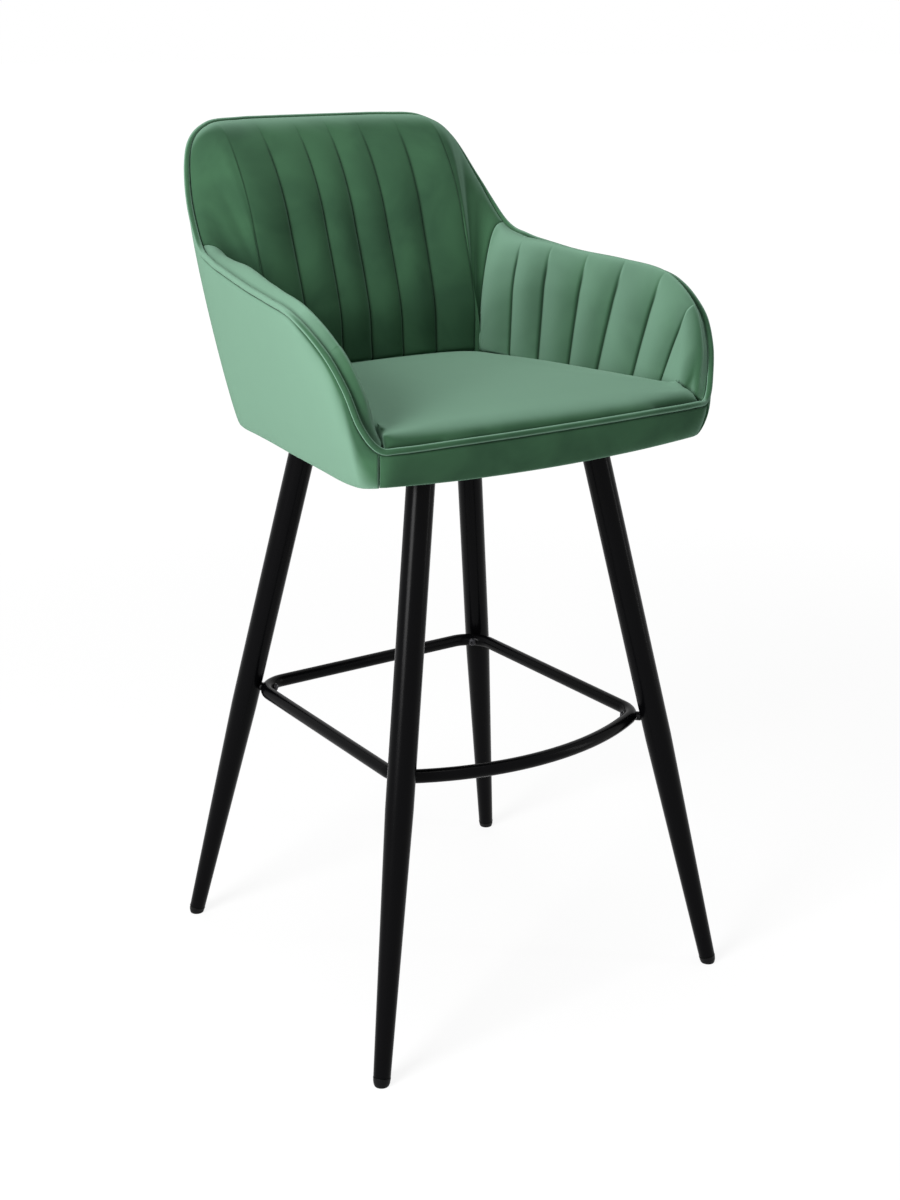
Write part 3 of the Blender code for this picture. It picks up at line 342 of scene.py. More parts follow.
class Rib:
    """One straight line of the tub from its lower edge to its rim."""

    def __init__(self, row):
        start = math.floor(row)
        share = row - start
        around = range(start - 1, start + 3)
        self.row = row
        self.rim, rim_way = curve_through([row_point(RIM_MM, index) for index in around], share)
        self.base, base_way = curve_through([row_point(EDGE_MM, index) for index in around], share)
        plan = rim_way.normalized() + base_way.normalized()
        self.along = rim_way.normalized()
        self.inward = Vector((plan.y, -plan.x, 0)).normalized()
        self.top = self.rim - self.inward * PIPING_DEPTH
        self.up = (self.top - self.base).normalized()
        square = self.up - self.along * self.along.dot(self.up)
        self.slant = square.length
        self.crown = square.normalized()

    def at_height(self, depth, height):
        share = (height - self.base.z) / (self.top.z - self.base.z)
        return self.base.lerp(self.top, share) + self.inward * depth

    def near_rim(self, depth, rise):
        """A point above the rim, square to it, or below it along the rib."""
        way = self.crown * rise if rise > 0 else self.up * (rise / self.slant)
        return self.top + way + self.inward * depth


def add_skin(shape, loops, closed=False):
    """Adds a skin through a row of closed loops, capped at its ends unless it joins up."""
    rings = [[shape.verts.new(point) for point in loop] for loop in loops]
    count = len(rings[0])
    for first, second in zip(rings, rings[1:] + (rings[:1] if closed else [])):
        for index in range(count):
            after = (index + 1) % count
            shape.faces.new((first[index], first[after], second[after], second[index]))
    if not closed:
        shape.faces.new(rings[0][::-1])
        shape.faces.new(rings[-1])


def finished_mesh(name, shape, material, crisp_degrees=180):
    """A smooth mesh from a shape; an edge that bends more than the degrees given stays crisp."""
    bmesh.ops.recalc_face_normals(shape, faces=shape.faces[:])
    mesh = bpy.data.meshes.new(name)
    shape.to_mesh(mesh)
    shape.free()
    mesh.materials.append(material)
    mesh.shade_smooth()
    if crisp_degrees < 180:
        mesh.set_sharp_from_angle(angle=math.radians(crisp_degrees))
    return mesh


def lofted_mesh(name, loops, material, closed=False, crisp_degrees=180):
    shape = bmesh.new()
    add_skin(shape, loops, closed)
    return finished_mesh(name, shape, material, crisp_degrees)


def evened(steps, mesh, rounds):
    """A field of steps on a mesh's points, each averaged with its neighbours' a number of times."""
    beside = [[] for step in steps]
    for edge in mesh.edges:
        first, second = edge.vertices
        beside[first].append(second)
        beside[second].append(first)
    for turn in range(rounds):
        steps = [(step + sum((steps[other] for other in others), Vector())) / (1 + len(others))
                 for step, others in zip(steps, beside)]
    return steps


def stuffed(piece, holds, limit, rounds):
    """Fills the piece by cloth simulation; held points stay, and none moves beyond the limit.

    Firm foam lets no fold stand, so the cloth's movement is evened out before it is applied.
    """
    group = piece.vertex_groups.new(name="held")
    for index, hold in enumerate(holds):
        group.add([index], hold, "REPLACE")
    before = [vertex.co.copy() for vertex in piece.data.vertices]
    cloth = piece.modifiers.new("stuffing", "CLOTH")
    cloth.settings.vertex_group_mass = "held"
    cloth.settings.effector_weights.gravity = 0
    for setting, value in CLOTH_SETTINGS.items():
        setattr(cloth.settings, setting, value)
    for number in range(1, CLOTH_FRAMES + 1):
        bpy.context.scene.frame_set(number)
    done = piece.evaluated_get(bpy.context.evaluated_depsgraph_get()).data
    steps = [vertex.co - start for vertex, start in zip(done.vertices, before)]
    piece.modifiers.remove(cloth)
    piece.vertex_groups.clear()
    bpy.context.scene.frame_set(1)
    steps = [step * min(1, limit / max(step.length, limit)) for step in steps]
    for vertex, step, hold in zip(piece.data.vertices, evened(steps, piece.data, rounds), holds):
        vertex.co += step * (1 - hold)


def smooth_once(piece):
    """One subdivision, so that the fabric stays round in a close view."""
    step = piece.modifiers.new("fine_skin", "SUBSURF")
    step.levels = 1
    step.render_levels = 1


def velvet_painted_sheen(name, painted_sheen_range, painted_sheen_most):
    """Short-pile velvet with a painted sheen: its colour turns pale over a range of glancing views."""
    material, tree, shader, place = new_material(name)
    # Soft clouds, about 85 mm across, where hands have brushed the pile
    brushed = add_node(tree, "TexNoise", {"Vector": place, "Scale": per_mm(85), "Detail": 3.0,
                                          "Distortion": 0.4})
    spread = add_node(tree, "MapRange", {0: brushed.outputs[0], 1: 0.36, 2: 0.64})
    green = add_node(tree, "Mix", {0: spread.outputs[0], 6: linear(VELVET_DEEP), 7: linear(VELVET_LIGHT)},
                     data_type="RGBA")
    # Painted sheen: the colour turns pale green the more glancing the view, a little unevenly with the
    # brushed clouds
    grazing = add_node(tree, "LayerWeight", {"Blend": 0.5})
    uneven_view = add_node(tree, "Math", {0: brushed.outputs[0], 1: 0.1, 2: grazing.outputs["Facing"]},
                           operation="MULTIPLY_ADD")
    painted_sheen = add_node(tree, "MapRange", {0: uneven_view.outputs[0], 1: painted_sheen_range[0], 2: painted_sheen_range[1],
                                       3: 0.0, 4: painted_sheen_most}, interpolation_type="SMOOTHSTEP")
    # Painted shade: the colour darkens and loses its painted sheen where the mesh marks a seam's groove and
    # the line beside the piping
    painted_seam_shade = add_node(tree, "Attribute", attribute_name="painted_seam_shade").outputs["Fac"]
    outside_painted_shade = add_node(tree, "MapRange", {0: painted_seam_shade, 3: 1.0, 4: 0.0})
    painted_sheen_unshaded = add_node(tree, "Math", {0: painted_sheen.outputs[0], 1: outside_painted_shade.outputs[0]}, operation="MULTIPLY")
    colour_with_painted_sheen = add_node(tree, "Mix", {
        0: painted_sheen_unshaded.outputs[0], 6: green.outputs[2], 7: linear(VELVET_PAINTED_SHEEN)}, data_type="RGBA")
    shade = add_node(tree, "MapRange", {0: painted_seam_shade, 3: 1.0, 4: 0.35})
    shaded = add_node(tree, "Mix", {0: 1.0, 6: colour_with_painted_sheen.outputs[2], 7: shade.outputs[0]},
                      data_type="RGBA", blend_type="MULTIPLY")
    # The real pile is finer than 0.3 mm; it is drawn at 0.9 mm so that it shows
    pile = add_node(tree, "TexNoise", {"Vector": place, "Scale": per_mm(0.9), "Detail": 2.0})
    relief = add_node(tree, "Bump", {"Strength": 0.16, "Distance": 0.0003, "Height": pile.outputs[0]})
    set_sockets(shader, {
        "Base Color": shaded.outputs[2], "Normal": relief.outputs[0], "Roughness": 0.9,
        "Specular IOR Level": 0.08, "Sheen Weight": 0.2, "Sheen Roughness": 0.3,
        "Sheen Tint": linear(VELVET_SHEEN)})
    return material


# Three copies of the velvet with painted sheen of different strength, standing for lit and shaded looks of
# one cloth: middling on the seat, cover and piping, strong on the arms, and weak on the back and apron, which
# stay deep green
velvet = velvet_painted_sheen("velvet_painted_sheen_middle", (0.25, 0.62), 0.92)
velvet_arm = velvet_painted_sheen("velvet_painted_sheen_strong", (0.02, 0.5), 0.85)
velvet_weak_sheen = velvet_painted_sheen("velvet_painted_sheen_weak", (0.42, 0.84), 0.75)


def to_nose(row):
    """0 along the back and arms, rising to 1 over the arm's nose."""
    return blend(abs(row), NOSE_ROW, ARM_FRONT_ROW)


def tuck_depth(row):
    """How deep the pads lie beside the seat, under its edge."""
    depth = mix(BACK_TUCK_DEPTH, ARM_TUCK_DEPTH, blend(abs(row), WING_ROW, JUNCTION_ROW + 1))
    return mix(depth, NOSE_TUCK_DEPTH, to_nose(row))


def on_front(row):
    """0 along the back and arms, 1 behind the apron."""
    return blend(abs(row) - ARM_FRONT_ROW, *FRONT_STEP_ROWS)


def at_corner(row):
    """1 where the arm's nose meets the front edge."""
    return blend(abs(row), 14.7, 15.4) * (1 - blend(abs(row), 15.7, 17.2))


def side_depth(row):
    return mix(tuck_depth(row) + TUCK_CLEARANCE, APRON_THICKNESS + SOFT_GAP, on_front(row))


def core_depth(row):
    depth = mix(side_depth(row), SEAT_CORE_DEPTH, on_front(row))
    return depth + SEAT_CORE_INSET - SEAT_CORNER_REACH * at_corner(row)


def core_height(row):
    """The back's weight presses the pad down behind; it stands fuller toward the front."""
    shoulder = mix(*SEAT_SHOULDERS, blend(abs(row), *SEAT_SHOULDER_ROWS))
    return SEAT_EDGE_HEIGHT + shoulder - SEAT_CORNER_DROP * at_corner(row)


def lip_depth(row):
    return mix(side_depth(row), PIPING_CLEAR, on_front(row))


def lip_height(row):
    edge = Rib(row).near_rim(0, SOFT_GAP - PIPING_RADIUS).z
    return mix(SEAT_EDGE_HEIGHT - SEAT_ROLL, edge, to_nose(row))


def whole_round():
    """Rows all the way round: the back and both arms, then the front edge."""
    right = [mix(0, ARM_FRONT_ROW, index / 90) for index in range(90)]
    right += [mix(ARM_FRONT_ROW, LAST_ROW, index / 30) for index in range(31)]
    return [-row for row in reversed(right[1:-1])] + right


def outline(depth_of, height_of):
    return [Rib(row).at_height(depth_of(row), height_of(row)) for row in whole_round()]


loops = [
    outline(lambda row: side_depth(row) + SEAT_UNDERCUT, lambda row: CUSHION_FLOOR),
    outline(side_depth, lambda row: mix(CUSHION_FLOOR, lip_height(row), 0.4)),
    outline(lambda row: side_depth(row) + SOFT_GAP, lip_height),
    outline(lip_depth, lip_height),
    outline(lambda row: lip_depth(row) + SOFT_GAP, lambda row: lip_height(row) + SEAT_ROLL),
]
lip = loops[-1]
core = outline(core_depth, core_height)
for inward_share, rise_share in SEAT_ROLL_SHARES:
    midway = [low.lerp(high, inward_share) for low, high in zip(lip, core)]
    for point, low, high in zip(midway, lip, core):
        point.z = mix(low.z, high.z, rise_share)
    loops.append(midway)
loops.append(core)
centre = sum(core, Vector()) / len(core)
reach = sum((point - centre).length for point in core) / len(core)
for inward_share, rise_share in SEAT_CROWN_SHARES:
    loop = []
    for point in core:
        spoke = point - centre
        spoke.z = 0
        spoke = spoke.lerp(spoke.normalized() * reach, inward_share) * (1 - inward_share)
        height = mix(point.z, SEAT_TOP, rise_share)
        loop.append(Vector((centre.x + spoke.x, centre.y + spoke.y, height)))
    loops.append(loop)
seat = add_piece(lofted_mesh("seat_cushion_velvet", loops, velvet))
even = seat.modifiers.new("even_mesh", "REMESH")
even.mode = "VOXEL"
even.voxel_size = SEAT_VOXEL
even.use_smooth_shade = True
calm = seat.modifiers.new("calm_surface", "SMOOTH")
calm.factor = 0.5
calm.iterations = 10
evaluated = seat.evaluated_get(bpy.context.evaluated_depsgraph_get())
seat_mesh = bpy.data.meshes.new_from_object(evaluated)
seat_mesh.materials.clear()
seat_mesh.materials.append(velvet)
seat.modifiers.clear()
seat.data = seat_mesh
holds = [1 - blend(vertex.co.z, SEAT_EDGE_HEIGHT - 0.004, SEAT_EDGE_HEIGHT + 0.006)
         for vertex in seat_mesh.vertices]
stuffed(seat, holds, SEAT_SWELL_LIMIT, SEAT_EVEN_ROUNDS)
smooth_once(seat)
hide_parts("seat_cushion")
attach(seat, "root")


# Back and arm cushions: velvet over foam, sewn through into upright channels that fade out below
# the rounded top edge. The back swells to 75 mm behind the sitter's loins. The wings beside it and
# the arms' noses are wide plain panels, and all of them bulge over the seat's edge.
SEAM_ROWS = (0, 0.9, 1.88, 2.82, 6, 7.5, 8.4, 9.25, 10.1, 11, 12, 15)
WING_SEAM_ROW = SEAM_ROWS[3]
# Shares of a panel at which it has a rib, close together beside its seams
CHANNEL_STEPS = (0, 0.018, 0.045, 0.09, 0.17, 0.27, 0.38, 0.5, 0.62, 0.73, 0.83, 0.91, 0.955, 0.982)
PANEL_STEPS = (0, 0.006, 0.015, 0.03, 0.06, 0.1) + tuple(0.15 + 0.05 * step for step in range(15)) + (
    0.9, 0.94, 0.97, 0.985, 0.994)
CUSHION_OUTER = 0.0142
COVER_INNER = 0.0046
LIP_DROP = 0.0105
LIP_ROLL = 0.006
# Depth of the face at a seam: row and metres
FACE_DEPTHS = (
    (0, 0.0735), (0.9, 0.077), (1.88, 0.0775), (2.82, 0.079), (4, 0.062), (6, 0.0535), (7.5, 0.046),
    (8.4, 0.0405), (9.25, 0.0345), (10.1, 0.030), (11, 0.0275), (13, 0.025), (15, 0.0215),
)
# The rounded top edge, and the rows over which it changes from back to arm and from arm to nose
BACK_ROUND = 0.132
ARM_ROUND = 0.045
NOSE_ROUND = 0.016
BACK_SWELL = 0.0048
ARM_SWELL = 0.0185
NOSE_SWELL = 0.008
ARM_SWELL_LEAN = 1.7
BACK_TO_ARM_ROWS = (5, 8.5)
ARM_TO_NOSE_ROWS = (11.5, 14)
CROWN_CROWDING = 1.35
SEWN_SHARE = 0.12
LOIN_SWELL = 0.004
DRAW_IN = 0.009
DRAW_IN_HEIGHT = 0.075
WING_TURN_DEGREES = 26
BACK_PUFF = 0.0058
ARM_PUFF = 0.0027
PANEL_PUFF = 0.005
WING_PUFF = 0.004
CHANNEL_FULLNESS = 0.92
# Drop below the rim at which a seam starts and is deepest, on the back and on the arms
SEAM_STARTS = (0.002, 0.004)
SEAM_DEEPEST = (0.045, 0.03)
SEAM_CUT = 0.0012
SEAM_CUT_WIDTH = 0.0012
# Width of the painted shade beside a seam
SEAM_SHADE_WIDTH = 0.0016
ROW_LENGTH = 0.05
END_PINCH = 0.0035
END_PINCH_ROWS = 0.12
HIDDEN_POINTS = 9
FACE_POINT = 20
CROWN_STEPS = 26
LOW_STEPS = 58
UNDER_GAP = 0.0010
UNDER_ROUND = 0.006
LEAST_OVERHANG = 0.0015
CUSHION_SWELL_LIMIT = 0.0025
CUSHION_EVEN_ROUNDS = 10

seat_tree = BVHTree.FromObject(seat, bpy.context.evaluated_depsgraph_get())


def seat_surface(point):
    """The height of the seat's top over a point of the plan."""
    place = seat_tree.ray_cast(Vector((point.x, point.y, 1)), Vector((0, 0, -1)))[0]
    return place.z if place else SEAT_EDGE_HEIGHT - SEAT_ROLL


def face_depth(row):
    side = abs(row)
    for (first, depth), (last, next_depth) in zip(FACE_DEPTHS, FACE_DEPTHS[1:]):
        if side <= last:
            return mix(depth, next_depth, (side - first) / (last - first))
    return FACE_DEPTHS[-1][1]


def on_arm(row):
    return blend(abs(row), WING_ROW, JUNCTION_ROW)


def nearest_seam(row):
    """0 on a seam and 1 in the middle of a channel, and the distance to the seam in rows."""
    side = abs(row)
    for first, last in zip(SEAM_ROWS, SEAM_ROWS[1:]):
        if first <= side <= last:
            fill = max(math.sin(math.pi * (side - first) / (last - first)), 0) ** CHANNEL_FULLNESS
            return fill, min(side - first, last - side)
    return 0, 0


def beside_seam(row, width):
    """1 on a seam, fading out over a width to both its sides."""
    return math.exp(-(nearest_seam(row)[1] * ROW_LENGTH / width) ** 2)


def sewn_down(row, drop):
    """How firmly the seams pull the face in, at a drop below the rim."""
    return blend(drop, mix(*SEAM_STARTS, on_arm(row)), mix(*SEAM_DEEPEST, on_arm(row)))


def channel_puff(row, drop):
    """How far the face stands out from the seam's depth, and how firmly a seam holds it there."""
    fill, away = nearest_seam(row)
    full = PANEL_PUFF if abs(row) > NOSE_ROW else mix(BACK_PUFF, ARM_PUFF, on_arm(row))
    sewn = sewn_down(row, drop)
    puff = full * (1 - sewn * (1 - fill)) - SEAM_CUT * beside_seam(row, SEAM_CUT_WIDTH) * sewn
    return puff, sewn if away < 0.001 else 0.0


def pad_rib(row):
    """A rib whose inward direction is turned forwards across the corner at the wings."""
    rib = Rib(row)
    turn = math.radians(WING_TURN_DEGREES) * blend(abs(row), 1.5, 3.7) * (1 - blend(abs(row), 4.8, 6.4))
    rib.inward = Matrix.Rotation(math.copysign(turn, row), 3, "Z") @ rib.inward / math.cos(turn)
    return rib


def evenly(path, count):
    """Points at equal distances along a path of (depth, height, hold) triples."""
    lengths = [0]
    for (x, y, hold), (next_x, next_y, next_hold) in zip(path, path[1:]):
        lengths.append(lengths[-1] + math.hypot(next_x - x, next_y - y))
    points = []
    index = 0
    for step in range(count + 1):
        want = lengths[-1] * step / count
        while index < len(path) - 2 and lengths[index + 1] < want:
            index += 1
        share = (want - lengths[index]) / max(lengths[index + 1] - lengths[index], 1e-9)
        points.append(tuple(mix(a, b, min(share, 1)) for a, b in zip(path[index], path[index + 1])))
    return points


def lower_path(rib, high, less):
    """The face from the rounded edge down over the seat's edge and beside the seat, as triples."""
    row = rib.row

    def face_at(height):
        puff, hold = channel_puff(row, (rib.top.z - height) * rib.slant)
        above_seat = height - SEAT_EDGE_HEIGHT
        share = min(max(above_seat / (high - SEAT_EDGE_HEIGHT), 0), 1)
        loin = LOIN_SWELL * (1 - on_arm(row)) * math.sin(math.pi * share)
        draw = DRAW_IN * (1 - on_arm(row)) * (1 - blend(above_seat, 0, DRAW_IN_HEIGHT))
        return face_depth(row) + puff + loin - draw - less, height, hold

    tuck = tuck_depth(row) + TUCK_CLEARANCE / 2
    lowest = face_at(SEAT_EDGE_HEIGHT)[0]
    over = lowest - tuck
    if over < LEAST_OVERHANG:
        path = []
        for depth, height, hold in [face_at(mix(high, CUSHION_FLOOR, step / 40)) for step in range(41)]:
            free = blend(height, SEAT_EDGE_HEIGHT, SEAT_EDGE_HEIGHT + 0.02)
            limit = mix(side_depth(row) - SOFT_GAP, 1, free)
            path.append((min(depth, limit), height, 0.0 if height > SEAT_EDGE_HEIGHT else 1.0))
        return path
    bend = min(UNDER_ROUND, over * 0.6)
    rest = seat_surface(rib.at_height(lowest - bend, SEAT_EDGE_HEIGHT)) + UNDER_GAP
    path = [face_at(mix(high, rest + bend, step / 36)) for step in range(37)]
    edge = path[-1][0]
    for degrees in (22.5, 45, 67.5, 90):
        angle = math.radians(degrees)
        path.append((edge - bend * (1 - math.cos(angle)), rest + bend * (1 - math.sin(angle)), 1.0))
    for step in range(1, 7):
        depth = mix(edge - bend, tuck, step / 6)
        path.append((depth, seat_surface(rib.at_height(depth, SEAT_EDGE_HEIGHT)) + UNDER_GAP, 1.0))
    return path + [(tuck, mix(path[-1][1], CUSHION_FLOOR, step / 4), 1.0) for step in range(1, 5)]


def cushion_loop(rib, pinch):
    """The section on one rib, and for each point how firmly the cloth is held there."""
    row = rib.row
    hidden = [rib.at_height(CUSHION_OUTER, CUSHION_FLOOR)]
    board_top = rib.near_rim(CUSHION_OUTER, -LIP_DROP)
    hidden += [hidden[0].lerp(board_top, share) for share in (0.2, 0.4, 0.6, 0.8)]
    hidden += [board_top, rib.near_rim(COVER_INNER, -LIP_DROP), rib.near_rim(COVER_INNER, -LIP_ROLL)]
    points = [(point, 1.0) for point in hidden]
    past_wing = blend(abs(row), *BACK_TO_ARM_ROWS)
    on_nose = blend(abs(row), *ARM_TO_NOSE_ROWS)
    high_round = mix(mix(BACK_ROUND, ARM_ROUND, past_wing), NOSE_ROUND, on_nose)
    high_round = min(high_round, (rib.top.z - CUSHION_FLOOR - 0.004) * rib.slant / rib.up.z)
    swell = mix(mix(BACK_SWELL, ARM_SWELL, past_wing), NOSE_SWELL, on_nose)
    lean = mix(1, ARM_SWELL_LEAN, past_wing)
    less = pinch * END_PINCH
    for step in range(CROWN_STEPS + 1):
        angle = math.radians(90) * (step / CROWN_STEPS) ** CROWN_CROWDING
        inward_share = math.sin(angle)
        drop = high_round * (1 - math.cos(angle))
        puff, hold = channel_puff(row, drop)
        depth = mix(PIPING_CLEAR, face_depth(row) - less, inward_share) + puff * inward_share ** 2
        rise = swell * max(math.sin(math.pi * inward_share ** lean), 0)
        rise -= less * blend(depth, 0.006, 0.02) * 0.6
        points.append((rib.near_rim(depth, rise - drop), 1.0 if inward_share < SEWN_SHARE else hold))
    high = rib.near_rim(0, -high_round).z
    path = evenly(lower_path(rib, high, less), LOW_STEPS)
    return points + [(rib.at_height(depth, height), hold) for depth, height, hold in path[1:]]


def pad_loop(row, pinch):
    """The section on one row; the wing's face is drawn straight across from its seam to its edge."""
    loop = cushion_loop(pad_rib(row), pinch)
    share = (abs(row) - WING_SEAM_ROW) / (JUNCTION_ROW - WING_SEAM_ROW)
    if not 0 < share < 1:
        return loop
    near = cushion_loop(pad_rib(math.copysign(WING_SEAM_ROW, row)), 0)
    far = cushion_loop(pad_rib(math.copysign(JUNCTION_ROW, row)), pinch)
    puff = pad_rib(row).inward * WING_PUFF * math.sin(math.pi * share)
    drawn = []
    for index, (point, hold) in enumerate(loop):
        across = near[index][0].lerp(far[index][0], share) + puff
        drawn.append((point.lerp(across, blend((index - HIDDEN_POINTS) / CROWN_STEPS, 0.2, 1)), hold))
    return drawn


def rows_between(first, last):
    """Rows from first to last, close together beside each seam."""
    half = []
    for low, high in zip(SEAM_ROWS, SEAM_ROWS[1:]):
        half += [mix(low, high, step) for step in (CHANNEL_STEPS if high - low < 2 else PANEL_STEPS)]
    rows = sorted({-row for row in half} | set(half))
    return [first] + [row for row in rows if first < row < last] + [last]


for name, first, last, velvet_copy in (
    ("back_cushion", -JUNCTION_ROW, JUNCTION_ROW, velvet_weak_sheen),
    ("arm_cushion_left", -ARM_FRONT_ROW, -JUNCTION_ROW, velvet_arm),
    ("arm_cushion_right", JUNCTION_ROW, ARM_FRONT_ROW, velvet_arm),
):
    rows = rows_between(first, last)
    loops = []
    for row in rows:
        to_end = min(row - first, last - row) / END_PINCH_ROWS
        loops.append(pad_loop(row, (1 - min(to_end, 1)) ** 2))
    for end, inner in ((0, 1), (-1, -2)):
        way = (loops[inner][FACE_POINT][0] - loops[end][FACE_POINT][0]).normalized() * SOFT_GAP / 2
        loops[end] = [(point + way, 1.0) for point, hold in loops[end]]
    # Painted shade: each point is marked by how firmly its seam pulls the face in, and the hidden points with
    # the first one by the piping fully, which darkens a thin line beside the piping
    shades = []
    for row, loop in zip(rows, loops):
        top = Rib(row).top.z
        seam = beside_seam(row, SEAM_SHADE_WIDTH)
        shades += [1.0 if index < HIDDEN_POINTS else sewn_down(row, top - point.z) * seam
                   for index, (point, hold) in enumerate(loop)]
    skin = lofted_mesh(name + "_velvet", [[point for point, hold in loop] for loop in loops], velvet_copy)
    skin.attributes.new("painted_seam_shade", "FLOAT", "POINT").data.foreach_set("value", shades)
    piece = add_piece(skin)
    stuffed(piece, [hold for loop in loops for point, hold in loop], CUSHION_SWELL_LIMIT, CUSHION_EVEN_ROUNDS)
    smooth_once(piece)
    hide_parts(name)
    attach(piece, "root")


# Outer cover: velvet over a thin foam sheet, pulled smooth round the tub board, turned in under
# its lower edge and stapled there. It ends in an upright seam beside the apron at each front corner.
COVER_THICKNESS = 0.004
COVER_BULGE = 0.006
COVER_FULLNESS = 0.55
HEM_WIDTH = 0.014
HEM_THICKNESS = 0.004
COVER_WALL_STEPS = 44
COVER_ROUND_STEPS = 150
COVER_CROWDING = 1.25
COVER_TOP_DROP = 0.0038
# A wall's end rolls in over a part of a row; a row kept close to the seam keeps its edge crisp
END_ROLL = 0.0002
END_ROLL_ROWS = 0.06
END_HOLD = 0.012


def padded_wall(rib, bulge, to_end, steps):
    """The outside of a padded wall from its lower edge up to the piping, and its two heights."""
    low = rib.base.z
    high = rib.near_rim(0, -COVER_TOP_DROP).z
    roll = blend(to_end, 0, END_ROLL_ROWS)
    points = []
    for step in range(steps + 1):
        share = step / steps
        out = bulge * max(4 * share * (1 - share), 0) ** COVER_FULLNESS
        points.append(rib.at_height(mix(END_ROLL, -out, roll), mix(low, high, share)))
    return points, low, high


half = [mix(0, ARM_FRONT_ROW, 1 - (1 - index / COVER_ROUND_STEPS) ** COVER_CROWDING)
        for index in range(COVER_ROUND_STEPS + 1)]
half.insert(-1, ARM_FRONT_ROW - END_HOLD)
loops = []
for row in [-row for row in reversed(half[1:])] + half:
    rib = Rib(row)
    outside, low, high = padded_wall(rib, COVER_BULGE, ARM_FRONT_ROW - abs(row), COVER_WALL_STEPS)
    hem_top = low + HEM_THICKNESS
    inside = ((COVER_THICKNESS, high), (COVER_THICKNESS, mix(low, high, 0.5)), (COVER_THICKNESS, hem_top),
              (HEM_WIDTH, hem_top), (HEM_WIDTH, low), (HEM_WIDTH / 2, low))
    loops.append(outside + [rib.at_height(depth, height) for depth, height in inside])
cover = add_piece(lofted_mesh("outer_cover_velvet", loops, velvet))
smooth_once(cover)
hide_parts("outer_cover")
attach(cover, "root")


# Front apron: a padded velvet strip under the front piping, sewn to the cover at its two ends and
# turned under the seat board, where it is stapled.
APRON_BULGE = 0.004
APRON_WALL_STEPS = 20
APRON_STEPS = 120
APRON_END_GAP = 0.00005

first_row = ARM_FRONT_ROW
last_row = 2 * LAST_ROW - ARM_FRONT_ROW
apron_rows = [mix(first_row, last_row, index / APRON_STEPS) for index in range(APRON_STEPS + 1)]
apron_rows.insert(1, first_row + END_HOLD)
apron_rows.insert(-1, last_row - END_HOLD)
loops = []
for row in apron_rows:
    rib = Rib(row)
    shift = rib.along * APRON_END_GAP * ((row == first_row) - (row == last_row))
    outside, low, high = padded_wall(rib, APRON_BULGE, min(row - first_row, last_row - row), APRON_WALL_STEPS)
    inside = [rib.at_height(APRON_THICKNESS, height) for height in (high, mix(low, high, 0.5), low)]
    loops.append([point + shift for point in outside + inside])
apron = add_piece(lofted_mesh("front_apron_velvet", loops, velvet_weak_sheen))
smooth_once(apron)
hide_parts("front_apron")
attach(apron, "root")


# Piping: a cord in a bias strip of the same velvet, sewn into the seam round the whole rim and
# along the front edge. It stands proud as one thin round line.
PIPING_SIDES = 16
PIPING_POINTS = 900


def circle(centre, first, second, radius, sides):
    """Points round a circle in the plane of two directions."""
    angles = [math.tau * side / sides for side in range(sides)]
    return [centre + (first * math.cos(angle) + second * math.sin(angle)) * radius for angle in angles]


def swept_tube(name, path, directions, radii, sides, material):
    """A closed ring of tube along a path, with the pair of directions across it at each point."""
    loops = [circle(point, *across, radius, sides) for point, across, radius in zip(path, directions, radii)]
    return lofted_mesh(name, loops, material, closed=True)


ribs = [Rib(mix(-LAST_ROW, LAST_ROW, index / PIPING_POINTS)) for index in range(PIPING_POINTS)]
directions = [(rib.along.cross(rib.crown).normalized(), rib.crown) for rib in ribs]
radii = [PIPING_RADIUS * (1 + 0.03 * noise.noise(rib.rim * 60)) for rib in ribs]
piping = add_piece(swept_tube(
    "rim_piping_velvet", [rib.rim for rib in ribs], directions, radii, PIPING_SIDES, velvet))
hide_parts("rim_piping")
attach(piping, "root")


# Bottom cloth: thin black non-woven fabric that closes the seat's underside, pulled flat and
# stapled under the board along its edge, with a hole burnt through for each leg bolt.
CLOTH_COLOUR = "#161618"
CLOTH_EDGE_DEPTH = 0.0258
CLOTH_BOTTOM = 0.6829
CLOTH_THICKNESS = 0.0008
BOLT_HOLE_RADIUS = 0.0042
HOLE_SIDES = 24
STAPLE_COLOUR = "#a9acb0"
STAPLE_EVERY = 0.032
STAPLE_INSET = 0.007
STAPLE_LENGTH = 0.0116
STAPLE_WIDTH = 0.0012
STAPLE_HEIGHT = 0.0006
STAPLE_GAP = 0.00005

# Bonded non-woven cloth: flat black with faint dots, which lie about 1.5 mm apart
cambric, tree, shader, place = new_material("black_nonwoven_cloth")
dots = add_node(tree, "TexVoronoi", {"Vector": place, "Scale": per_mm(1.5), "Randomness": 0.15})
tone = add_node(tree, "MapRange", {0: dots.outputs[0], 1: 0.2, 2: 0.7, 3: 0.7, 4: 1.25})
black = add_node(tree, "Mix", {0: 1.0, 6: linear(CLOTH_COLOUR), 7: tone.outputs[0]},
                 data_type="RGBA", blend_type="MULTIPLY")
relief = add_node(tree, "Bump", {"Strength": 0.3, "Distance": 0.0002, "Height": dots.outputs[0]})
set_sockets(shader, {"Base Color": black.outputs[2], "Normal": relief.outputs[0], "Roughness": 0.95})

# Galvanised staple wire: bright, a little uneven from drawing
wire, tree, shader, place = new_material("galvanised_staple_wire")
drawn = add_node(tree, "TexNoise", {"Vector": place, "Scale": per_mm(0.8), "Detail": 2.0})
uneven = add_node(tree, "MapRange", {0: drawn.outputs[0], 3: 0.3, 4: 0.45})
set_sockets(shader, {"Base Color": linear(STAPLE_COLOUR), "Metallic": 1.0, "Roughness": uneven.outputs[0]})


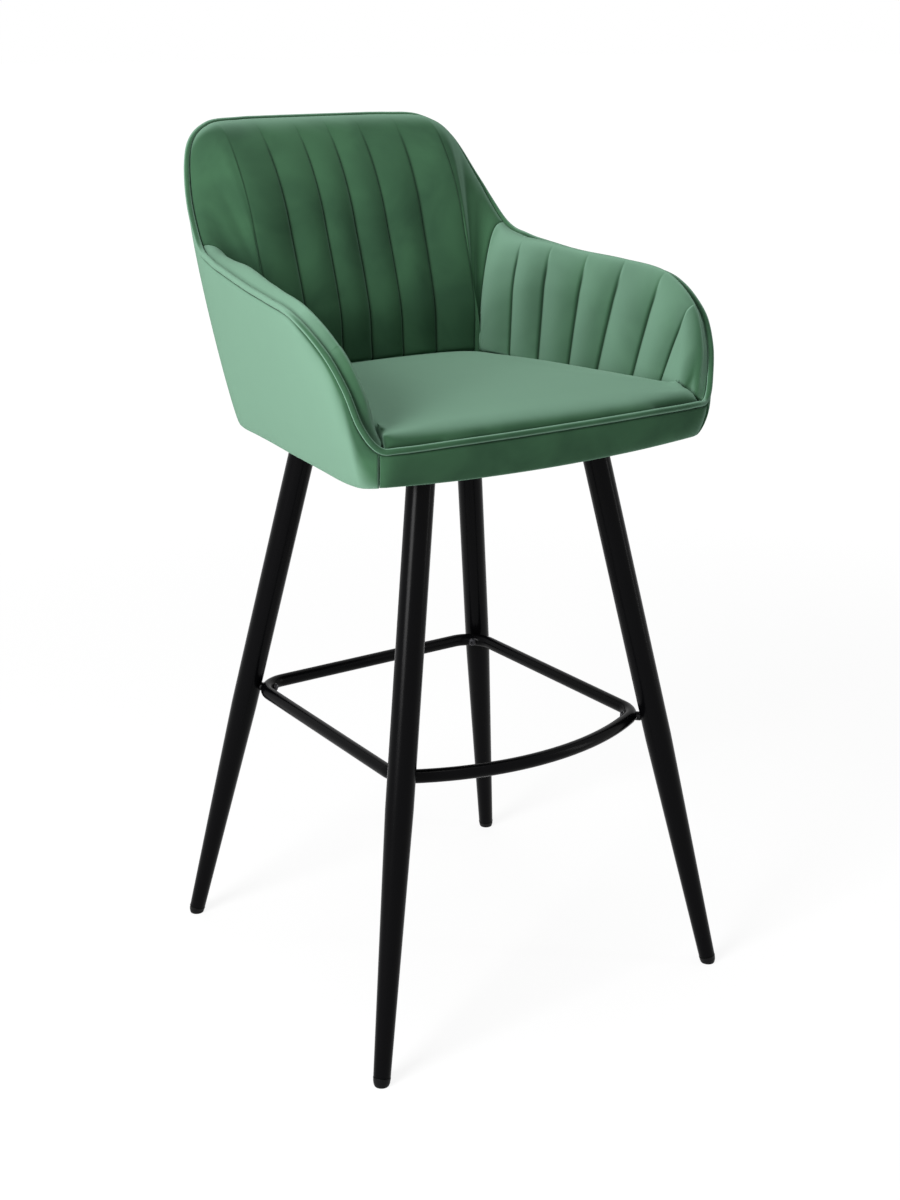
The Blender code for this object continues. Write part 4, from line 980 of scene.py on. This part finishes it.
def edge_ring(inset, height, count):
    """A level ring inside the tub's lower edge."""
    points = []
    for index in range(count):
        rib = Rib(mix(-LAST_ROW, LAST_ROW, index / count))
        point = rib.base + rib.inward * (CLOTH_EDGE_DEPTH + inset)
        points.append(Vector((point.x, point.y, height)))
    return points


def arc(centre, radius, start, end, steps, whole=False):
    """Points of a level arc between two angles in degrees, with its last one if it is whole."""
    angles = [math.radians(mix(start, end, step / steps)) for step in range(steps + whole)]
    return [centre + Vector((math.cos(angle), math.sin(angle), 0)) * radius for angle in angles]


def add_sheet(shape, rings, height):
    """Adds a flat piece between an outline and its holes, raised to a thickness; returns its area."""
    edges = []
    for ring in rings:
        points = [shape.verts.new(point) for point in ring]
        edges += [shape.edges.new(pair) for pair in zip(points, points[1:] + points[:1])]
    filled = bmesh.ops.triangle_fill(shape, use_beauty=True, use_dissolve=False, edges=edges)
    faces = [item for item in filled["geom"] if isinstance(item, bmesh.types.BMFace)]
    area = sum(face.calc_area() for face in faces)
    raised = bmesh.ops.extrude_face_region(shape, geom=faces, use_keep_orig=True)
    points = [item for item in raised["geom"] if isinstance(item, bmesh.types.BMVert)]
    bmesh.ops.translate(shape, verts=points, vec=(0, 0, height))
    return area


edge = edge_ring(0, CLOTH_BOTTOM, 240)
rings = [edge]
for leg in LEG_NAMES:
    for number in BOLT_NUMBERS:
        low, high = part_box(f"leg_bolt_{leg}_{number}")
        middle = Vector(((low[0] + high[0]) / 2, (low[1] + high[1]) / 2, CLOTH_BOTTOM))
        rings.append(arc(middle, BOLT_HOLE_RADIUS, 0, 360, HOLE_SIDES))
shape = bmesh.new()
cloth_area = add_sheet(shape, rings, CLOTH_THICKNESS)
bottom = add_piece(finished_mesh("bottom_cloth_nonwoven", shape, cambric, crisp_degrees=50))
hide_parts("bottom_cloth")
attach(bottom, "root")

shape = bmesh.new()
ring = edge_ring(STAPLE_INSET, CLOTH_BOTTOM - STAPLE_HEIGHT / 2 - STAPLE_GAP, 720)
walked = 0
for before, here, after in zip(ring[-1:] + ring[:-1], ring, ring[1:] + ring[:1]):
    walked += (here - before).length
    if walked < STAPLE_EVERY:
        continue
    walked = 0
    along = (after - before).normalized()
    across = Vector((along.y, -along.x, 0))
    size = Matrix((along * STAPLE_LENGTH, across * STAPLE_WIDTH, Vector((0, 0, STAPLE_HEIGHT))))
    place = Matrix.Translation(here) @ size.transposed().to_4x4()
    made = bmesh.ops.create_cube(shape, size=1, matrix=place)
    edges = list({line for point in made["verts"] for line in point.link_edges})
    bmesh.ops.bevel(shape, geom=edges, offset=STAPLE_HEIGHT / 4, segments=2, affect="EDGES")
staples = add_piece(finished_mesh("cloth_staples", shape, wire, crisp_degrees=50))
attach(staples, "root")


# Legs: steel tube of 32 mm, straight down to the footrest and tapered below it, with a bolting
# plate welded across the top by a rippled bead. Tube, bead and plate are powder coated satin black.
COAT_BLACK = "#040405"
LEG_ENDS_MM = {
    # Middle of the right foot on the floor, and of the tube's top under the plate
    "front": ((243.6, -266.59, 0), (116.6, -160.99, 678.6)),
    "back": ((236.8, 214.81, 0), (113.6, 90.41, 678.6)),
}
LEG_RADIUS = 0.016
LEG_FOOT_RADIUS = 0.00975
LEG_TAPER_HEIGHT = 0.305
LEG_TAPER_STEPS = 12
# Heights of the straight part at which the tube has a ring
LEG_STRAIGHT_HEIGHTS = [0.32, 0.34, 0.5, 0.66]
LEG_WALL = 0.0015
LEG_FOOT_LENGTH = 0.010
LEG_CUT_EDGE = 0.0004
LEG_SIDES = 56
PLATE_THICKNESS = 0.004
PLATE_GAP = 0.00005
PLATE_HOLE_PLACE = 0.031
PLATE_LOBE_RADIUS = 0.011
PLATE_LOBE_STEPS = 14
PLATE_HOLE_RADIUS = 0.0034
WELD_RADIUS = 0.0022
WELD_DROP = 0.0006
WELD_HIGHEST = 0.001
WELD_RIPPLES = 40
WELD_SIDES = 10

# Satin powder coat: deep black with soft lengthwise lights; its orange peel has about 1.2 mm from
# bump to bump, and hands leave it a little duller in patches of 35 mm
coat, tree, shader, place = new_material("satin_black_powder_coat")
peel = add_node(tree, "TexNoise", {"Vector": place, "Scale": per_mm(1.2), "Detail": 2.0})
relief = add_node(tree, "Bump", {"Strength": 0.1, "Distance": 0.0002, "Height": peel.outputs[0]})
handled = add_node(tree, "TexNoise", {"Vector": place, "Scale": per_mm(35), "Detail": 3.0})
uneven = add_node(tree, "MapRange", {0: handled.outputs[0], 3: 0.19, 4: 0.27})
set_sockets(shader, {"Base Color": linear(COAT_BLACK), "Normal": relief.outputs[0],
                     "Roughness": uneven.outputs[0], "Specular IOR Level": 0.055})


class Leg:
    """One leg's axis, and the direction of its plate's first lobe in degrees."""

    def __init__(self, name):
        end, side = name.split("_")
        mirror = Vector((-1 if side == "left" else 1, 1, 1))
        self.foot, self.top = (Vector(point) * mirror / 1000 for point in LEG_ENDS_MM[end])
        self.axis = (self.top - self.foot).normalized()
        self.diagonal = Vector((mirror.x, math.copysign(1, self.foot.y), 0)).normalized()
        self.across = (Vector((1, 0, 0)) - self.axis * self.axis.x).normalized()
        self.beside = self.axis.cross(self.across)
        self.lobe_way = math.degrees(math.atan2(-self.diagonal.y, -self.diagonal.x))

    def at_height(self, height):
        return self.foot + self.axis * (height / self.axis.z)

    def radius_at(self, height):
        return mix(LEG_FOOT_RADIUS, LEG_RADIUS, min(height / LEG_TAPER_HEIGHT, 1))

    def ring(self, radius, height, level=False):
        """A ring square to the axis, or slid along it onto a level plane."""
        points = circle(self.at_height(height), self.across, self.beside, radius, LEG_SIDES)
        if level:
            points = [point + self.axis * ((height - point.z) / self.axis.z) for point in points]
        return points

    def bolt_places(self):
        return arc(self.top, PLATE_HOLE_PLACE, self.lobe_way, self.lobe_way + 360, 3)


def add_bead(shape, leg):
    """The weld round the tube's top, rippled by hand and ground level with the plate."""
    bead = []
    for index, way in enumerate(circle(Vector(), leg.across, leg.beside, 1, WELD_RIPPLES * 4)):
        point = leg.at_height(leg.top.z) + way * LEG_RADIUS
        point += leg.axis * ((leg.top.z - WELD_DROP - point.z) / leg.axis.z)
        size = WELD_RADIUS * (1 + 0.10 * math.cos(math.tau * index / 4) + 0.10 * noise.noise(point * 90))
        bead.append(circle(point, way, leg.axis, size, WELD_SIDES))
        for corner in bead[-1]:
            corner.z = min(corner.z, leg.top.z + WELD_HIGHEST)
    add_skin(shape, bead, closed=True)


def add_plate(shape, leg):
    """The three-lobed plate with its three bolt holes."""
    places = [place + Vector((0, 0, PLATE_GAP)) for place in leg.bolt_places()]
    lobes = []
    for number, place in enumerate(places):
        way = leg.lobe_way + 120 * number
        lobes += arc(place, PLATE_LOBE_RADIUS, way - 60, way + 60, PLATE_LOBE_STEPS, whole=True)
    holes = [arc(place, PLATE_HOLE_RADIUS, 0, 360, HOLE_SIDES) for place in places]
    add_sheet(shape, [lobes] + holes, PLATE_THICKNESS - 2 * PLATE_GAP)


LEGS = {name: Leg(name) for name in LEG_NAMES}
for name, leg in LEGS.items():
    foot_height = LEG_FOOT_LENGTH * leg.axis.z
    foot_radius = leg.radius_at(foot_height)
    heights = [mix(foot_height, LEG_TAPER_HEIGHT, step / LEG_TAPER_STEPS)
               for step in range(1, LEG_TAPER_STEPS + 1)]
    loops = [leg.ring(LEG_RADIUS - LEG_WALL, leg.top.z, level=True),
             leg.ring(LEG_RADIUS - LEG_WALL, LEG_TAPER_HEIGHT),
             leg.ring(foot_radius - LEG_WALL, foot_height),
             leg.ring(foot_radius - LEG_CUT_EDGE, foot_height),
             leg.ring(foot_radius, foot_height + LEG_CUT_EDGE)]
    loops += [leg.ring(leg.radius_at(height), height) for height in heights + LEG_STRAIGHT_HEIGHTS]
    loops.append(leg.ring(LEG_RADIUS, leg.top.z, level=True))
    shape = bmesh.new()
    add_skin(shape, loops, closed=True)
    add_bead(shape, leg)
    add_plate(shape, leg)
    tube = add_piece(finished_mesh(f"leg_{name}_steel", shape, coat, crisp_degrees=40))
    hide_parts("leg_" + name)
    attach(tube, "root")


# Glides: black plastic plugs pressed into the open feet. Each is rounded at the tip and worn flat
# where it stands on the floor.
GLIDE_BLACK = "#060607"
GLIDE_FIT = 0.0003
GLIDE_STEM_STRAIGHT = 0.012
GLIDE_STEM_LENGTH = 0.018
GLIDE_STEM_TAPER = 0.0008
GLIDE_SIDES = 40
# Heights as shares of the shoulder's, and widths as shares of the foot's
GLIDE_LINE = ((-0.25, 0.70), (-0.1, 0.80), (0.08, 0.885), (0.3, 0.95), (0.55, 0.985), (0.8, 1.0), (1.0, 1.0))
MOULD_LINE = 0.00025
MOULD_LINE_SHARE = 0.86

# Moulded plastic: dull black, with a spark-eroded texture of about 0.6 mm and scuffs of 4 mm
plastic, tree, shader, place = new_material("moulded_black_plastic")
grain = add_node(tree, "TexNoise", {"Vector": place, "Scale": per_mm(0.6), "Detail": 2.0})
relief = add_node(tree, "Bump", {"Strength": 0.2, "Distance": 0.0001, "Height": grain.outputs[0]})
scuffed = add_node(tree, "TexNoise", {"Vector": place, "Scale": per_mm(4), "Detail": 4.0})
uneven = add_node(tree, "MapRange", {0: scuffed.outputs[0], 1: 0.4, 2: 0.7, 3: 0.42, 4: 0.62})
set_sockets(shader, {"Base Color": linear(GLIDE_BLACK), "Normal": relief.outputs[0],
                     "Roughness": uneven.outputs[0], "Specular IOR Level": 0.1})

for name, leg in LEGS.items():
    foot_radius = leg.radius_at(LEG_FOOT_LENGTH * leg.axis.z)
    shoulder = LEG_FOOT_LENGTH - GLIDE_FIT
    stem = foot_radius - LEG_WALL - GLIDE_FIT
    profile = [(foot_radius * wide, shoulder * high) for high, wide in GLIDE_LINE]
    profile.insert(-1, (foot_radius + MOULD_LINE, shoulder * MOULD_LINE_SHARE))
    profile += [(stem, shoulder), (stem, shoulder + GLIDE_STEM_STRAIGHT),
                (stem - GLIDE_STEM_TAPER, shoulder + GLIDE_STEM_LENGTH)]
    shape = bmesh.new()
    add_skin(shape, [circle(leg.foot + leg.axis * height, leg.across, leg.beside, radius, GLIDE_SIDES)
                     for radius, height in profile])
    solid = shape.verts[:] + shape.edges[:] + shape.faces[:]
    floor_cut = bmesh.ops.bisect_plane(shape, geom=solid, plane_no=(0, 0, -1), clear_outer=True)
    rim = [item for item in floor_cut["geom_cut"] if isinstance(item, bmesh.types.BMEdge)]
    bmesh.ops.contextual_create(shape, geom=rim)
    glide = add_piece(finished_mesh(f"glide_{name}_plastic", shape, plastic, crisp_degrees=50))
    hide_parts("glide_" + name)
    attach(glide, "root")


# Footrest: one steel tube of 16 mm, bent to a ring inside the legs with a bowed front rail, and
# powder coated like them. Plastic spacers and zinc-plated inserts carry its screws.
RING_HEIGHT = 0.3305
RING_RADIUS = 0.008
RING_SIDES = 28
BEND_RADIUS = 0.036
BEND_STEPS = 24
FRONT_BEND = Vector((0.1358, -0.1692, RING_HEIGHT))
BACK_BEND = Vector((0.1327, 0.1102, RING_HEIGHT))
BOW_DEPTH = 0.0335
BOW_STEPS = 60

side_lean = math.degrees(math.atan2(FRONT_BEND.x - BACK_BEND.x, BACK_BEND.y - FRONT_BEND.y))
bow_reach = BEND_RADIUS + BOW_DEPTH
bow_radius = (FRONT_BEND.x ** 2 + bow_reach ** 2 - BEND_RADIUS ** 2) / (2 * (bow_reach - BEND_RADIUS))
bow_centre = Vector((0, FRONT_BEND.y - bow_reach + bow_radius, RING_HEIGHT))
bow_angle = math.degrees(math.atan2(FRONT_BEND.x, bow_centre.y - FRONT_BEND.y))
mirror = Vector((-1, 1, 1))
path = arc(BACK_BEND, BEND_RADIUS, side_lean, 90, BEND_STEPS, whole=True)
path += arc(BACK_BEND * mirror, BEND_RADIUS, 90, 180 - side_lean, BEND_STEPS)
path += arc(FRONT_BEND * mirror, BEND_RADIUS, 180 - side_lean, 270 - bow_angle, BEND_STEPS)
path += arc(bow_centre, bow_radius, 270 - bow_angle, 270 + bow_angle, BOW_STEPS)
path += arc(FRONT_BEND, BEND_RADIUS, 270 + bow_angle, 360 + side_lean, BEND_STEPS, whole=True)
directions = []
for before, after in zip(path[-1:] + path[:-1], path[1:] + path[:1]):
    along = (after - before).normalized()
    directions.append((Vector((along.y, -along.x, 0)), Vector((0, 0, 1))))
ring = add_piece(swept_tube(
    "footrest_steel", path, directions, [RING_RADIUS] * len(path), RING_SIDES, coat))
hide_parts("footrest")
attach(ring, "root")
finish_nodes(plastic, *["footrest_spacer_" + leg for leg in LEG_NAMES])
finish_nodes(zinc, *["leg_insert_" + leg for leg in LEG_NAMES])


# Bolts and screws: button heads with a hex socket, turned from steel and blackened. Three bolts
# go up through each leg's plate; one screw goes through the ring into each leg.
OXIDE_BLACK = "#232326"
# Radius and height of the head, and radii of the shank and of the socket
BOLT_SIZES = (0.0059, 0.0033, 0.003, 0.002)
SCREW_SIZES = (0.00525, 0.003, 0.0025, 0.0015)
SCREW_LENGTH_FRONT = 0.0402
SCREW_LENGTH_BACK = 0.0375
SCREW_SINK = 0.001
# Widths and heights of the button head as shares of its own
HEAD_LINE = ((0.96, 0), (1.0, 0.12), (0.97, 0.42), (0.86, 0.72), (0.72, 0.93), (0.62, 1.0))
HEAD_SIDES = 36
SOCKET_FLOOR_SHARE = 0.35

# Black oxide on turned steel: dark grey with a faint mottle
oxide, tree, shader, place = new_material("black_oxide_steel")
mottle = add_node(tree, "TexNoise", {"Vector": place, "Scale": per_mm(1.8), "Detail": 4.0})
tone = add_node(tree, "MapRange", {0: mottle.outputs[0], 1: 0.35, 2: 0.7, 3: 0.75, 4: 1.35})
shade = add_node(tree, "Mix", {0: 1.0, 6: linear(OXIDE_BLACK), 7: tone.outputs[0]},
                 data_type="RGBA", blend_type="MULTIPLY")
uneven = add_node(tree, "MapRange", {0: mottle.outputs[0], 3: 0.32, 4: 0.48})
set_sockets(shader, {"Base Color": shade.outputs[2], "Roughness": uneven.outputs[0], "Metallic": 0.7})


def socket_screw(node, collar, way, sizes, length):
    """A button head with a hex socket below its collar, and a plain shank of a length above it."""
    head, height, shank, socket = sizes
    across = way.orthogonal().normalized()
    beside = way.cross(across)

    def ring_at(radius, along):
        return circle(collar + way * along, across, beside, radius, HEAD_SIDES)

    def hexagon_at(radius, along):
        points = []
        for index, point in enumerate(ring_at(radius, along)):
            turn = (math.tau * index / HEAD_SIDES + math.pi / 6) % (math.pi / 3) - math.pi / 6
            middle = collar + way * along
            points.append(middle + (point - middle) / math.cos(turn))
        return points

    loops = [ring_at(shank - 0.0005, length), ring_at(shank, length - 0.0006), ring_at(shank, 0)]
    loops += [ring_at(head * wide, -height * low) for wide, low in HEAD_LINE]
    loops += [hexagon_at(socket * 1.02, -height), hexagon_at(socket, -height + 0.0002),
              hexagon_at(socket, -height * SOCKET_FLOOR_SHARE)]
    screw = add_piece(lofted_mesh(node + "_oxide", loops, oxide, crisp_degrees=35))
    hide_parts(node)
    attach(screw, "root")


for name, leg in LEGS.items():
    for number in BOLT_NUMBERS:
        node = f"leg_bolt_{name}_{number}"
        low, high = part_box(node)
        collar = Vector(((low[0] + high[0]) / 2, (low[1] + high[1]) / 2, low[2] + BOLT_SIZES[1]))
        socket_screw(node, collar, Vector((0, 0, 1)), BOLT_SIZES, high[2] - collar.z)
    node = "footrest_screw_" + name
    at_front = leg.foot.y < 0
    bend = (FRONT_BEND if at_front else BACK_BEND) * Vector((math.copysign(1, leg.foot.x), 1, 1))
    collar = bend + leg.diagonal * (BEND_RADIUS - RING_RADIUS - SCREW_SINK)
    tip = sum(max(a * part, b * part) for a, b, part in zip(*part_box(node), leg.diagonal))
    length = min(SCREW_LENGTH_FRONT if at_front else SCREW_LENGTH_BACK, tip - collar.dot(leg.diagonal))
    socket_screw(node, collar, leg.diagonal, SCREW_SIZES, length)
